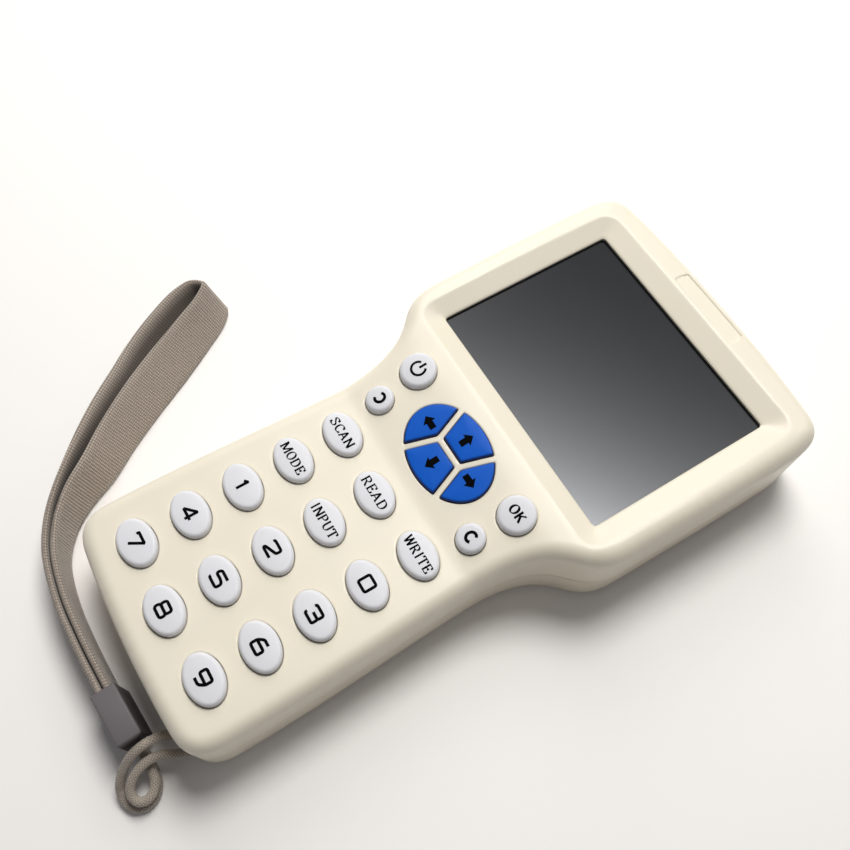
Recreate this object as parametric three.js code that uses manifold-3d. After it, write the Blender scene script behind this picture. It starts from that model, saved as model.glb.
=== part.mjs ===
// Handheld microchip scanner: a two-part plastic case with a display head, a keypad grip,
// four battery cells and a wrist strap that hangs on the bottom end.
// Millimetres. X is across the grip, Y runs from the strap end to the display end, Z is up from the
// surface that the scanner lies on. Y is zero half way along the case.
import * as THREE from "three";
import { mergeVertices } from "three/addons/utils/BufferGeometryUtils.js";
import Module from "manifold-3d";

const wasm = await Module();
wasm.setup();

// Case
const caseLength = 167.2;
const partingHeight = 11; // height of the joint between the two covers
const seamGap = 0.3; // clearance between pieces that touch
const wall = 2.2;
const floorThickness = 2;
const gripTop = 21.7; // height of the keypad face
const ridgeTop = 26; // height of the ridge around the display
const headEndTop = 24.8; // the rim falls to this height at the display end
const rampStart = 71.5; // distances along the case start at the strap end
const rimStart = 91.5; // the ramp ends here in an almost level rim
const rimLow = 25.6;
const ridgeLow = 97.3;
const ridgeHigh = 158.5;
const ridgeHalf = 37.4;
const upperEdgeRadius = 3.6;
const lowerEdgeRadius = 2.4;
const lipTop = 13.1; // the rear cover's lip reaches up inside the front cover
const lipInset = 1.4;
const postRadius = 3; // screw posts of the front cover
const bossRadius = 3.2; // and the bosses under them
const screwHoleRadius = 1.4;

// Display
const windowHalf = 32.4;
const windowLow = 102.7;
const windowHigh = 153.2;
const displayMiddle = (windowLow + windowHigh) / 2;
const windowLip = 23.4;
const windowLipUnderside = 22.6;
const recessBulge = 0.4; // how far the recess edges bow out at mid side

// Keys
const columns = [-17.7, -0.5, 17.2]; // X of the three columns
const rowPitch = 13.17;
const firstRow = 12.2;
const middleColumnShift = -1.08;
const keyHalfLength = 6.1;
const keyHalfWidth = 4.35;
const roundKeyRadius = 4.6;
const clearKeyRadius = 3.5;
const keyProud = 1.8; // how far a cap stands above the face around it
const keyGap = 0.35; // gap around a cap in its hole
const keyFoot = 18.5; // underside of every cap
const flangeTop = 19.3;
const flangeWidth = 0.65;
const padCentre = 83.7;
const padHalfLength = 13.1;
const padHalfWidth = 9.4;
const padProud = 0.9;
const padRib = 1.7; // width of the ribs between the arrow keys
const padFork = 4.3; // half distance between the two forks of the ribs
const padForkRun = [2.9, 7.9]; // run of a fork's branch along X and Y
const padGap = 0.4; // gap round the arrow keys in their openings
const padSegments = 36;

// Cells
const cellRadius = 5.2;
const cellLength = 44.5;
const cellPitch = 11.2;
const cellHeight = 8.6;
const bayLow = 4;
const bayHigh = 53.7;
const bayHalf = 22.6;

// Heights of the flat inner pieces, as [underside, top]
const boardLevel = [14.4, 15.6];
const matLevel = [16, 17];
const panelLevel = [18.1, 19.9];
const displayFrameLevel = [17.8, 19.9];
const gasketLevel = [20.2, 20.8];
const windowLevel = [21.1, 22.3];
const coilLevel = [2.4, 6.4];
const antennaBoardLevel = [7.4, 8.2];
const ferriteLevel = [8.5, 9];
const buzzerLevel = [8.6, 14.1];

// Strap
const webbingThickness = 1.5;
const cordDiameter = 2.2;

const along = (distance) => distance - caseLength / 2; // distance from the strap end to Y

const screwPlaces = [
  { x: 26.2, distance: 7.2 },
  { x: 26, distance: 70 },
  { x: 37.5, distance: 158 },
].flatMap(({ x, distance }) => [[-x, distance], [x, distance]]);

function toSolid(geometry) {
  const bare = geometry.clone();
  bare.deleteAttribute("normal");
  bare.deleteAttribute("uv");
  const merged = mergeVertices(bare, 1e-4);
  return new wasm.Manifold(
    new wasm.Mesh({
      numProp: 3,
      vertProperties: new Float32Array(merged.attributes.position.array),
      triVerts: new Uint32Array(merged.index.array),
    }),
  );
}

function toGeometry(solid) {
  const mesh = solid.getMesh();
  const geometry = new THREE.BufferGeometry();
  geometry.setAttribute("position", new THREE.BufferAttribute(mesh.vertProperties, 3));
  geometry.setIndex(new THREE.BufferAttribute(mesh.triVerts, 1));
  return geometry;
}

const join = (...solids) => solids.reduce((sum, solid) => sum.add(solid));
const cut = (solid, ...tools) => tools.reduce((rest, tool) => rest.subtract(tool), solid);

// A closed skin over rings of equal point count, listed from low to high.
function loft(rings) {
  const count = rings[0].length;
  const positions = rings.flat().flatMap((point) => [point.x, point.y, point.z]);
  const indices = [];
  for (let level = 0; level < rings.length - 1; level++) {
    for (let i = 0; i < count; i++) {
      const low = level * count + i;
      const nextLow = level * count + ((i + 1) % count);
      indices.push(low, nextLow, nextLow + count, low, nextLow + count, low + count);
    }
  }
  const capFaces = (ring) =>
    THREE.ShapeUtils.triangulateShape(ring.map((point) => new THREE.Vector2(point.x, point.y)), []);
  const top = (rings.length - 1) * count;
  for (const [a, b, c] of capFaces(rings[0])) indices.push(a, c, b);
  for (const [a, b, c] of capFaces(rings[rings.length - 1])) indices.push(top + a, top + b, top + c);
  const geometry = new THREE.BufferGeometry();
  geometry.setAttribute("position", new THREE.Float32BufferAttribute(positions, 3));
  geometry.setIndex(indices);
  return toSolid(geometry);
}

// A box given by its low and high corners, with Y as a distance along the case.
function block(lowX, lowDistance, lowZ, highX, highDistance, highZ) {
  const geometry = new THREE.BoxGeometry(highX - lowX, highDistance - lowDistance, highZ - lowZ);
  geometry.translate((lowX + highX) / 2, along((lowDistance + highDistance) / 2), (lowZ + highZ) / 2);
  return toSolid(geometry);
}

function post(x, distance, radius, lowZ, highZ, sides = 12) {
  const geometry = new THREE.CylinderGeometry(radius, radius, highZ - lowZ, sides);
  geometry.rotateX(Math.PI / 2);
  geometry.translate(x, along(distance), (lowZ + highZ) / 2);
  return toSolid(geometry);
}

// A flat plate cut from a THREE.Shape.
function plate(shape, lowZ, highZ) {
  const geometry = new THREE.ExtrudeGeometry(shape, {
    depth: highZ - lowZ,
    bevelEnabled: false,
    curveSegments: 2,
  });
  geometry.translate(0, 0, lowZ);
  return toSolid(geometry);
}

// A rectangle with round corners; Y runs between two distances along the case.
function roundedRectangle(half, low, high, radius) {
  const shape = new THREE.Shape();
  const bottom = along(low);
  const top = along(high);
  shape.absarc(half - radius, bottom + radius, radius, -Math.PI / 2, 0);
  shape.absarc(half - radius, top - radius, radius, 0, Math.PI / 2);
  shape.absarc(-half + radius, top - radius, radius, Math.PI / 2, Math.PI);
  shape.absarc(-half + radius, bottom + radius, radius, Math.PI, Math.PI * 1.5);
  return shape;
}

function frame(half, low, high, width, radius, lowZ, highZ) {
  const shape = roundedRectangle(half, low, high, radius);
  shape.holes.push(roundedRectangle(half - width, low + width, high - width, radius));
  return plate(shape, lowZ, highZ);
}

function ellipse(x, distance, halfX, halfY, height, segments = 18) {
  return Array.from({ length: segments }, (unused, i) => {
    const angle = (i / segments) * Math.PI * 2;
    const pointX = x + halfX * Math.cos(angle);
    const pointY = along(distance) + halfY * Math.sin(angle);
    return new THREE.Vector3(pointX, pointY, height(pointY));
  });
}

// Half of the plan outline, from the strap end round the right side to the display end.
function halfOutline() {
  const point = (x, distance) => new THREE.Vector2(x, distance);
  const path = new THREE.CurvePath();
  const bend = (...points) => path.add(new THREE.CubicBezierCurve(...points));
  bend(point(0, 0), point(8, 0), point(16, 0.3), point(23.5, 1));
  bend(point(23.5, 1), point(28.8, 1.6), point(31, 4.6), point(31.2, 10));
  bend(point(31.2, 10), point(31.5, 34), point(30, 52), point(29.7, 72));
  bend(point(29.7, 72), point(29.7, 83), point(32.3, 89), point(35.8, 92.6));
  bend(point(35.8, 92.6), point(39.5, 96.3), point(42.2, 98), point(42.7, 105.5));
  bend(point(42.7, 105.5), point(43, 120), point(43.4, 138), point(43.2, 153));
  bend(point(43.2, 153), point(43.1, 161), point(41.5, 164.6), point(36, 165.4));
  bend(point(36, 165.4), point(24, 166.8), point(12, 167.2), point(0, caseLength));
  const stepsPerCurve = [1, 4, 2, 5, 5, 2, 5, 2];
  return path.curves.flatMap((curve, i) => curve.getPoints(stepsPerCurve[i]).slice(0, -1));
}

const rightSide = halfOutline();
const leftSide = rightSide
  .slice(1)
  .reverse()
  .map((point) => new THREE.Vector2(-point.x, point.y));
const caseOutline = [...rightSide, new THREE.Vector2(0, caseLength), ...leftSide];

// The outline moved inwards by inset, as a ring at the height that heightAt gives for a distance.
function caseRing(inset, heightAt) {
  const count = caseOutline.length;
  return caseOutline.map((point, i) => {
    const before = caseOutline[(i + count - 1) % count];
    const after = caseOutline[(i + 1) % count];
    const tangent = after.clone().sub(before).normalize();
    const distance = point.y + tangent.x * inset;
    return new THREE.Vector3(point.x - tangent.y * inset, along(distance), heightAt(point.y));
  });
}

// Height of the upper face along the middle of the case, with the display recess left out.
function faceHeight(distance) {
  const stops = [
    [-Infinity, gripTop],
    [rampStart, gripTop],
    [rimStart, rimLow],
    [ridgeLow, ridgeTop],
    [ridgeHigh, ridgeTop],
    [caseLength, headEndTop],
  ];
  const next = stops.findIndex(([stop]) => distance < stop);
  if (next < 0) return headEndTop;
  if (next < 2) return gripTop;
  const [low, lowHeight] = stops[next - 1];
  const [high, highHeight] = stops[next];
  return lowHeight + ((highHeight - lowHeight) * (distance - low)) / (high - low);
}

// Everything under the upper face lowered by drop, as a prism across the whole width.
function underFace(drop) {
  const halfWidth = 60;
  const profile = new THREE.Shape();
  profile.moveTo(along(-5), 0);
  profile.lineTo(along(caseLength + 5), 0);
  const corners = [caseLength + 5, caseLength, ridgeHigh, ridgeLow, rimStart, rampStart, -5];
  for (const distance of corners) {
    profile.lineTo(along(distance), faceHeight(Math.min(distance, caseLength)) - drop);
  }
  const geometry = new THREE.ExtrudeGeometry(profile, { depth: 2 * halfWidth, bevelEnabled: false });
  geometry.translate(0, 0, -halfWidth);
  geometry.applyMatrix4(
    new THREE.Matrix4().makeBasis(
      new THREE.Vector3(0, 1, 0),
      new THREE.Vector3(0, 0, 1),
      new THREE.Vector3(1, 0, 0),
    ),
  );
  return toSolid(geometry);
}

// A ring of the display recess: a rectangle with bowed sides and round corners.
function recessRing(half, low, high, z, bulge) {
  const middle = (low + high) / 2;
  const halfHeight = (high - low) / 2;
  const segments = 28;
  const corner = 0.18; // exponent of a rounded square
  return Array.from({ length: segments }, (unused, i) => {
    const angle = ((i + 0.5) / segments) * Math.PI * 2;
    const c = Math.cos(angle);
    const s = Math.sin(angle);
    const squareX = Math.sign(c) * Math.abs(c) ** corner;
    const squareY = Math.sign(s) * Math.abs(s) ** corner;
    const bowX = bulge * (1 - squareY ** 2) * squareX;
    return new THREE.Vector3(half * squareX + bowX, along(middle + halfHeight * squareY), z);
  });
}

// The space of the display recess, or with grow the same space with its skin of that thickness.
function recessSpace(grow) {
  const overshoot = 3; // the slope goes on above the ridge
  const depth = ridgeTop - windowLip;
  const slope = (overshoot + depth) / depth;
  const sideRun = (ridgeHalf - windowHalf) * slope;
  const lowRun = (windowLow - ridgeLow) * slope;
  const highRun = (ridgeHigh - windowHigh) * slope;
  const lip = (run, z, bulge) =>
    recessRing(
      windowHalf + grow + sideRun * run,
      windowLow - grow - lowRun * run,
      windowHigh + grow + highRun * run,
      z,
      bulge,
    );
  const drop = grow > 0 ? windowLip - windowLipUnderside : 0;
  return loft([lip(0, windowLip - drop, 0), lip(1, ridgeTop + overshoot - drop, recessBulge)]);
}

// Every cap with a round or oval plan: its name, its centre and its half axes.
const keyNames = [
  ["key_7", "key_4", "key_1", "key_mode", "key_scan"],
  ["key_8", "key_5", "key_2", "key_input", "key_read"],
  ["key_9", "key_6", "key_3", "key_0", "key_write"],
];
const ovalKeys = keyNames.flatMap((column, c) =>
  column.map((name, row) => ({
    name,
    x: columns[c],
    distance: firstRow + row * rowPitch + (c === 1 ? middleColumnShift : 0),
    halfX: keyHalfLength,
    halfY: keyHalfWidth,
  })),
);
const roundKeys = [
  { name: "key_power", x: -21.8, distance: 88.4, radius: roundKeyRadius },
  { name: "key_ok", x: 21.4, distance: 88.4, radius: roundKeyRadius },
  { name: "key_clear_left", x: -20.7, distance: 76.9, radius: clearKeyRadius },
  { name: "key_clear_right", x: 20.2, distance: 76.9, radius: clearKeyRadius },
].map((key) => ({ ...key, halfX: key.radius, halfY: key.radius }));

function keyCap({ x, distance, halfX, halfY }) {
  const flat = (z) => () => z;
  const lid = (drop) => (y) => faceHeight(y + caseLength / 2) + keyProud - drop;
  const ring = (grow, height) => ellipse(x, distance, halfX + grow, halfY + grow, height);
  return loft([
    ring(flangeWidth, flat(keyFoot)),
    ring(flangeWidth, flat(flangeTop)),
    ring(0, flat(flangeTop)),
    ring(0, lid(0.8)),
    ring(-1.3, lid(0.15)),
    ring(-3, lid(0)),
  ]);
}

function keyHole({ x, distance, halfX, halfY }) {
  const ring = (z) => ellipse(x, distance, halfX + keyGap, halfY + keyGap, () => z);
  return loft([ring(keyFoot - 2), ring(ridgeTop + 5)]);
}

// The ribs that part the arrow keys: a middle bar with a fork at each end.
function padRibs(width) {
  const bar = (fromX, fromY, toX, toY) => {
    const length = Math.hypot(toX - fromX, toY - fromY);
    const geometry = new THREE.BoxGeometry(length + width * 0.6, width, 20);
    geometry.rotateZ(Math.atan2(toY - fromY, toX - fromX));
    geometry.translate((fromX + toX) / 2, along(padCentre) + (fromY + toY) / 2, gripTop);
    return toSolid(geometry);
  };
  const [runX, runY] = padForkRun.map((run) => run * 1.6);
  const branches = [-1, 1].flatMap((sideX) =>
    [-1, 1].map((sideY) => bar(sideX * padFork, 0, sideX * (padFork + runX), sideY * runY)),
  );
  return join(bar(-padFork, 0, padFork, 0), ...branches);
}

// The four arrow keys cut from one oval, in the order left, right, up, down.
function arrowKeys() {
  const lid = (drop) => (y) => faceHeight(y + caseLength / 2) + padProud - drop;
  const ring = (grow, height) =>
    ellipse(0, padCentre, padHalfLength + grow, padHalfWidth + grow, height, padSegments);
  const oval = loft([ring(0, () => keyFoot), ring(0, lid(0.5)), ring(-0.8, lid(0))]);
  const pieces = oval.subtract(padRibs(padRib)).decompose();
  const middleOf = (piece) => {
    const { min, max } = piece.boundingBox();
    return { x: (min[0] + max[0]) / 2, y: (min[1] + max[1]) / 2 - along(padCentre) };
  };
  const pick = (score) => pieces.reduce((a, b) => (score(middleOf(a)) > score(middleOf(b)) ? a : b));
  return {
    key_left: pick((m) => -m.x),
    key_right: pick((m) => m.x),
    key_up: pick((m) => m.y),
    key_down: pick((m) => -m.y),
  };
}

function frontCover() {
  const edge = (inset, drop) => caseRing(inset, (distance) => faceHeight(distance) - drop);
  const r = upperEdgeRadius;
  const outside = loft([
    caseRing(0, () => partingHeight + seamGap / 2),
    edge(0, r),
    edge(0.29 * r, 0.29 * r),
    edge(r, 0),
    edge(r + 0.1, -2),
  ]).intersect(underFace(0));
  const hollow = loft([caseRing(wall, () => 5), caseRing(wall, () => ridgeTop + 4)])
    .intersect(underFace(floorThickness))
    .subtract(recessSpace(1.6));
  const seatInset = lipInset - seamGap;
  const lipSeat = loft([caseRing(seatInset, () => 5), caseRing(seatInset, () => lipTop + seamGap)]);
  const posts = screwPlaces.map(([x, distance]) =>
    post(x, distance, postRadius, partingHeight + seamGap / 2, faceHeight(distance) - 1),
  );
  const pilots = screwPlaces.map(([x, distance]) => post(x, distance, screwHoleRadius, 5, 17.5, 10));
  const outline = loft([caseRing(wall + 0.5, () => 5), caseRing(wall + 0.5, () => ridgeTop)]);
  const shell = cut(outside, hollow, lipSeat);
  const withPosts = join(shell, ...posts.map((solid) => solid.intersect(outline)));
  const windowCut = block(-windowHalf, windowLow, 15, windowHalf, windowHigh, 30);
  const padRing = (z) =>
    ellipse(0, padCentre, padHalfLength + padGap, padHalfWidth + padGap, () => z, padSegments);
  const padHole = loft([padRing(15), padRing(30)]).subtract(padRibs(padRib - 2 * padGap));
  const [notchHalf, notchLow, notchHigh, notchFloor] = [11.5, 159.4, 164.4, 24.4];
  const notch = block(-notchHalf, notchLow, notchFloor, notchHalf, notchHigh, 30);
  const keyHoles = [...ovalKeys, ...roundKeys].map(keyHole);
  return cut(withPosts, ...pilots, ...keyHoles, recessSpace(0), windowCut, padHole, notch);
}

const doorHalf = 20.9;
const doorLow = 1;
const doorHigh = 53.4;
const doorLevel = [0.1, 1.7];
const doorTravel = 4;
const doorTabs = [14, 40]; // where each side's tabs start
const tabLength = 6;
const tabReach = 1.1;
const tabLevel = [0.8, 1.2];
const grooveStarts = [42, 44.5, 47];
const grooveHalf = 9;
const grooveWidth = 1.2;

function rearCover() {
  const r = lowerEdgeRadius;
  const top = partingHeight - seamGap / 2;
  const outside = loft([
    caseRing(r, () => 0),
    caseRing(0.29 * r, () => 0.29 * r),
    caseRing(0, () => r),
    caseRing(0, () => top),
  ]);
  const lip = loft([caseRing(lipInset, () => 8), caseRing(lipInset, () => lipTop)]);
  const hollow = loft([caseRing(wall, () => floorThickness), caseRing(wall, () => 20)]);
  const bosses = screwPlaces.map(([x, distance]) => post(x, distance, bossRadius, 1, top - 0.2));
  const outline = loft([caseRing(0.6, () => 0.6), caseRing(0.6, () => top)]);
  const ribWidth = 1.2;
  const [ribLow, ribHigh] = [bayLow - ribWidth, bayHigh + seamGap + ribWidth];
  const ribs = [
    block(bayHalf, ribLow, 1, bayHalf + ribWidth, ribHigh, 12),
    block(-bayHalf - ribWidth, ribLow, 1, -bayHalf, ribHigh, 12),
    block(-bayHalf - ribWidth, bayHigh + seamGap, 1, bayHalf + ribWidth, ribHigh, 12),
  ];
  const shell = join(outside, lip).subtract(hollow);
  const filled = join(shell, ...[...bosses, ...ribs].map((solid) => solid.intersect(outline)));
  const counterbores = screwPlaces.map(([x, distance]) => post(x, distance, 2.6, -1, 4.2));
  const shafts = screwPlaces.map(([x, distance]) => post(x, distance, screwHoleRadius, 3, 14, 10));
  const openHalf = doorHalf + seamGap;
  const doorway = block(-openHalf, -2, -1, openHalf, doorHigh + seamGap, floorThickness + seamGap);
  const tabSlots = doorTabs.flatMap((start) =>
    [-1, 1].flatMap((side) => {
      const inner = side * (doorHalf - 1);
      const outer = side * (doorHalf + tabReach + seamGap);
      const [low, high] = [Math.min(inner, outer), Math.max(inner, outer)];
      const slotLow = start - doorTravel - seamGap;
      const slotHigh = start + tabLength + seamGap;
      return [
        block(low, slotLow, tabLevel[0] - seamGap, high, slotHigh, tabLevel[1] + seamGap),
        block(low, slotLow, -1, high, slotLow + tabLength + 2 * seamGap, tabLevel[1] + seamGap),
      ];
    }),
  );
  const eyelets = eyeletPlaces.map((x) => {
    const hole = new THREE.CylinderGeometry(eyeletRadius, eyeletRadius, 12, 12);
    hole.translate(x, along(0), eyeletHeight);
    return toSolid(hole);
  });
  return cut(filled, ...counterbores, ...shafts, doorway, ...tabSlots, ...eyelets);
}

function batteryDoor() {
  const panel = block(-doorHalf, doorLow, doorLevel[0], doorHalf, doorHigh, doorLevel[1]);
  const tabs = doorTabs.flatMap((start) =>
    [-1, 1].map((side) => {
      const inner = side * (doorHalf - 0.5);
      const outer = side * (doorHalf + tabReach);
      const [low, high] = [Math.min(inner, outer), Math.max(inner, outer)];
      return block(low, start, tabLevel[0], high, start + tabLength, tabLevel[1]);
    }),
  );
  const gripGrooves = grooveStarts.map((start) =>
    block(-grooveHalf, start, -1, grooveHalf, start + grooveWidth, 0.5),
  );
  return cut(join(panel, ...tabs), ...gripGrooves);
}

// A plate with round notches where the screw posts pass it.
function clearOfPosts(solid) {
  const notchRadius = 3.6;
  return cut(solid, ...screwPlaces.map(([x, distance]) => post(x, distance, notchRadius, 10, 20)));
}

function mainBoard() {
  const inset = 5;
  return clearOfPosts(loft(boardLevel.map((level) => caseRing(inset, () => level))));
}

function keypadMat() {
  const matHalf = 24.6;
  return clearOfPosts(plate(roundedRectangle(matHalf, 5.5, 96.3, 3), ...matLevel));
}

function cell(index) {
  const nubLength = 1;
  const profile = [
    [0, 0],
    [cellRadius - 0.4, 0],
    [cellRadius, 0.4],
    [cellRadius, cellLength - nubLength - 0.4],
    [cellRadius - 0.4, cellLength - nubLength],
    [2.7, cellLength - nubLength],
    [2.7, cellLength],
    [0, cellLength],
  ].map(([radius, height]) => new THREE.Vector2(radius, height));
  const geometry = new THREE.LatheGeometry(profile, 18);
  const nubForward = index % 2 === 1;
  if (!nubForward) geometry.rotateX(Math.PI);
  const start = nubForward ? bayHigh - 1.4 - cellLength : bayLow + 1.4 + cellLength;
  geometry.translate(cellX(index), along(start), cellHeight);
  return toSolid(geometry);
}

const cellX = (index) => (index - 1.5) * cellPitch;

// A contact plate at one end of a cell, with a spring for its flat end or a button for its nub.
function contact(index, atHighEnd) {
  const nubForward = index % 2 === 1;
  const hasSpring = atHighEnd !== nubForward;
  const plateThickness = 0.5;
  const reach = hasSpring ? 3 : 0.6;
  const [baseRadius, tipRadius] = hasSpring ? [3.6, 2.4] : [2, 1.6];
  const nose = new THREE.CylinderGeometry(tipRadius, baseRadius, reach + 0.2, 14);
  nose.translate(0, reach / 2 + 0.1 + plateThickness - 0.2, 0);
  const blade = new THREE.BoxGeometry(8.8, plateThickness, 8.4);
  blade.translate(0, plateThickness / 2, 0);
  for (const geometry of [nose, blade]) {
    if (atHighEnd) geometry.rotateX(Math.PI);
    geometry.translate(cellX(index), along(atHighEnd ? bayHigh : bayLow), cellHeight);
  }
  return join(toSolid(nose), toSolid(blade));
}

function caseScrew([x, distance]) {
  const profile = [
    [0, 2.2],
    [2.2, 2.2],
    [2.2, 3.6],
    [1.05, 3.9],
    [1.05, 16],
    [0, 16.6],
  ].map(([radius, height]) => new THREE.Vector2(radius, height));
  const geometry = new THREE.LatheGeometry(profile, 12);
  geometry.rotateX(Math.PI / 2);
  geometry.translate(x, along(distance), 0);
  const slot = new THREE.BoxGeometry(3.2, 0.7, 1);
  slot.translate(x, along(distance), 2.4);
  const crossSlot = slot.clone();
  crossSlot.translate(-x, -along(distance), 0);
  crossSlot.rotateZ(Math.PI / 2);
  crossSlot.translate(x, along(distance), 0);
  return cut(toSolid(geometry), toSolid(slot), toSolid(crossSlot));
}

function antennaCoil() {
  const [halfX, halfY] = [33, 22];
  const windingWidth = 3.5;
  const outer = new THREE.Shape();
  outer.absellipse(0, along(displayMiddle), halfX, halfY, 0, Math.PI * 2);
  const inner = new THREE.Path();
  inner.absellipse(0, along(displayMiddle), halfX - windingWidth, halfY - windingWidth, 0, Math.PI * 2);
  outer.holes.push(inner);
  const [low, high] = coilLevel;
  const geometry = new THREE.ExtrudeGeometry(outer, {
    depth: high - low,
    bevelEnabled: false,
    curveSegments: 16,
  });
  geometry.translate(0, 0, low);
  return toSolid(geometry);
}

// A plate under the window that reaches past its edges by growX and growY.
function screenPlate(growX, growY, [low, high]) {
  const halfX = windowHalf + growX;
  return block(-halfX, windowLow - growY, low, halfX, windowHigh + growY, high);
}

// The same as an open frame, width wide.
function screenFrame(growX, growY, width, [low, high]) {
  const cornerRadius = 0.6;
  const halfX = windowHalf + growX;
  return frame(halfX, windowLow - growY, windowHigh + growY, width, cornerRadius, low, high);
}

function displayFlex() {
  const flexHalf = 9;
  const thickness = 0.3;
  const [bend, end] = [windowLow - 5, windowLow - 2];
  const [low, high] = [boardLevel[1] + seamGap, panelLevel[0] + 1.2];
  const tongue = block(-flexHalf, bend, high - thickness, flexHalf, end, high);
  const tail = block(-flexHalf, bend, low, flexHalf, bend + thickness, high);
  return join(tongue, tail);
}

function buzzer() {
  const [low, high] = buzzerLevel;
  const [x, distance] = [12, 84];
  const body = post(x, distance, 6, low, high, 20);
  const soundHole = post(x, distance, 1.2, low - 1, low + 1, 10);
  return cut(body, soundHole);
}

const eyeletPlaces = [20.2, 25.2];
const eyeletHeight = 5.5;
const eyeletRadius = 1.6;

// The webbing's two edges along its loop, chosen by hand: it leaves the clamp, passes the corner of
// the case, opens out, folds over at its far end and comes back beside itself.
const webbingTopEdge = [
  [13.5, -90.9, 12.6], [5.5, -91.4, 12.6], [-9, -92, 12.6], [-20, -91.7, 12.6],
  [-30.6, -89.8, 12.6], [-38, -86.3, 12.4], [-43.7, -81.8, 12.2], [-50, -74.5, 11.6],
  [-56.5, -67.7, 10.6], [-64.1, -58.1, 9.6], [-70.2, -48.8, 8.9], [-75.6, -38.8, 9],
  [-79.9, -30.2, 9.9], [-82.4, -27.5, 10.6], [-84.8, -30.2, 10.2], [-84.6, -35.4, 9.4],
  [-80.7, -44.2, 9], [-75.4, -52.5, 9.2], [-70, -59, 9.9], [-64.3, -65.6, 11],
  [-59.2, -70.8, 12], [-52.8, -77, 12.5], [-45.9, -83.2, 12.6], [-39.3, -88, 12.6],
  [-31.4, -91.6, 12.6], [-20.2, -93.6, 12.6], [-9, -93.9, 12.6], [5.3, -93.3, 12.6],
  [13.3, -92.8, 12.6],
];
const webbingLowEdge = [
  [13.5, -90.9, 0.4], [5.5, -91.4, 0.4], [-9, -92, 0.4], [-20, -91.7, 0.4],
  [-30.4, -89.6, 0.4], [-37.1, -85.3, 0.4], [-41.6, -79.5, 0.4], [-45.8, -71.2, 0.4],
  [-51.2, -63.4, 0.4], [-57.3, -53.3, 0.4], [-62.7, -43.7, 0.4], [-68.6, -34.1, 0.4],
  [-73.8, -26.6, 0.4], [-77.2, -24.2, 0.4], [-79.4, -26.6, 0.4], [-77.6, -31.4, 0.4],
  [-73.2, -39.8, 0.4], [-68.1, -47.7, 0.4], [-63, -54, 0.4], [-58.7, -61.1, 0.4],
  [-55, -67.3, 0.4], [-50.5, -75, 0.4], [-45.4, -82.7, 0.4], [-39.2, -87.9, 0.4],
  [-31.4, -91.6, 0.4], [-20.2, -93.6, 0.4], [-9, -93.9, 0.4], [5.3, -93.3, 0.4],
  [13.3, -92.8, 0.4],
];

const smoothCurve = (points) =>
  new THREE.CatmullRomCurve3(points.map((point) => new THREE.Vector3(...point)), false, "centripetal");

// A flat ribbon between two edge curves, closed at both ends.
function webbing() {
  const topCurve = smoothCurve(webbingTopEdge);
  const lowCurve = smoothCurve(webbingLowEdge);
  const steps = 66;
  const sections = Array.from({ length: steps + 1 }, (unused, i) => {
    const t = i / steps;
    const top = topCurve.getPoint(t);
    const low = lowCurve.getPoint(t);
    const course = topCurve.getTangent(t).add(lowCurve.getTangent(t)).normalize();
    const across = top.clone().sub(low).normalize();
    const outward = new THREE.Vector3().crossVectors(course, across).normalize();
    const half = outward.multiplyScalar(webbingThickness / 2);
    return [low.clone().sub(half), low.clone().add(half), top.clone().add(half), top.clone().sub(half)];
  });
  const positions = sections.flat().flatMap((point) => [point.x, point.y, point.z]);
  const indices = [];
  for (let i = 0; i < steps; i++) {
    for (let corner = 0; corner < 4; corner++) {
      const a = i * 4 + corner;
      const b = i * 4 + ((corner + 1) % 4);
      indices.push(a, b + 4, b, a, a + 4, b + 4);
    }
  }
  const last = steps * 4;
  indices.push(0, 1, 2, 0, 2, 3, last, last + 2, last + 1, last, last + 3, last + 2);
  const geometry = new THREE.BufferGeometry();
  geometry.setAttribute("position", new THREE.Float32BufferAttribute(positions, 3));
  geometry.setIndex(indices);
  return toSolid(geometry);
}

const clampTurn = (4.2 * Math.PI) / 180;
const clampCentre = new THREE.Vector3(11.8, -91.85, 6.6);

// A folded metal sleeve that grips both ends of the webbing.
function clamp() {
  const box = (length, width, height) => {
    const geometry = new THREE.BoxGeometry(length, width, height);
    geometry.rotateZ(clampTurn);
    geometry.translate(clampCentre.x, clampCentre.y, clampCentre.z);
    return geometry;
  };
  const body = toSolid(box(12.8, 5.8, 13.2));
  const pocket = box(12.8, 4.6, 12.7);
  pocket.translate(-1.6, -0.12, 0);
  return cut(body, toSolid(pocket));
}

const cordRoutes = {
  strap_cord_upper: [
    [20.2, -81.6, 5.5], [20.2, -83.6, 5.7], [19.9, -85.4, 7.4], [19.8, -87.6, 9.2], [19.9, -90, 9.9],
    [20.3, -92.7, 9.1], [21.3, -95.4, 7.2], [22.7, -97.6, 5], [24.5, -99, 2.9],
    [26.8, -99.3, 1.6], [29.1, -98.3, 1.2], [30.1, -95.9, 1.2], [29.4, -93.5, 1.2],
    [27.2, -91.8, 1.25], [24.5, -91.3, 1.4], [21.5, -91.3, 1.9], [18.9, -91.4, 2.3],
  ],
  strap_cord_lower: [
    [25.2, -81.4, 5.5], [25.2, -83.4, 5.6], [24.3, -85.5, 6.1], [23.1, -87.9, 6.7], [22.8, -90.6, 7],
    [23.3, -93.2, 6.6], [24.4, -95.4, 5.8], [25.9, -96.8, 4.8], [27.6, -97.1, 4.1],
    [29, -96.3, 3.8], [29.4, -94.4, 3.7], [28.5, -92.8, 3.7], [26.6, -91.6, 3.8],
    [24, -91.3, 4.1], [21.4, -91.4, 4.6], [18.9, -91.4, 5],
  ],
};

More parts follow.
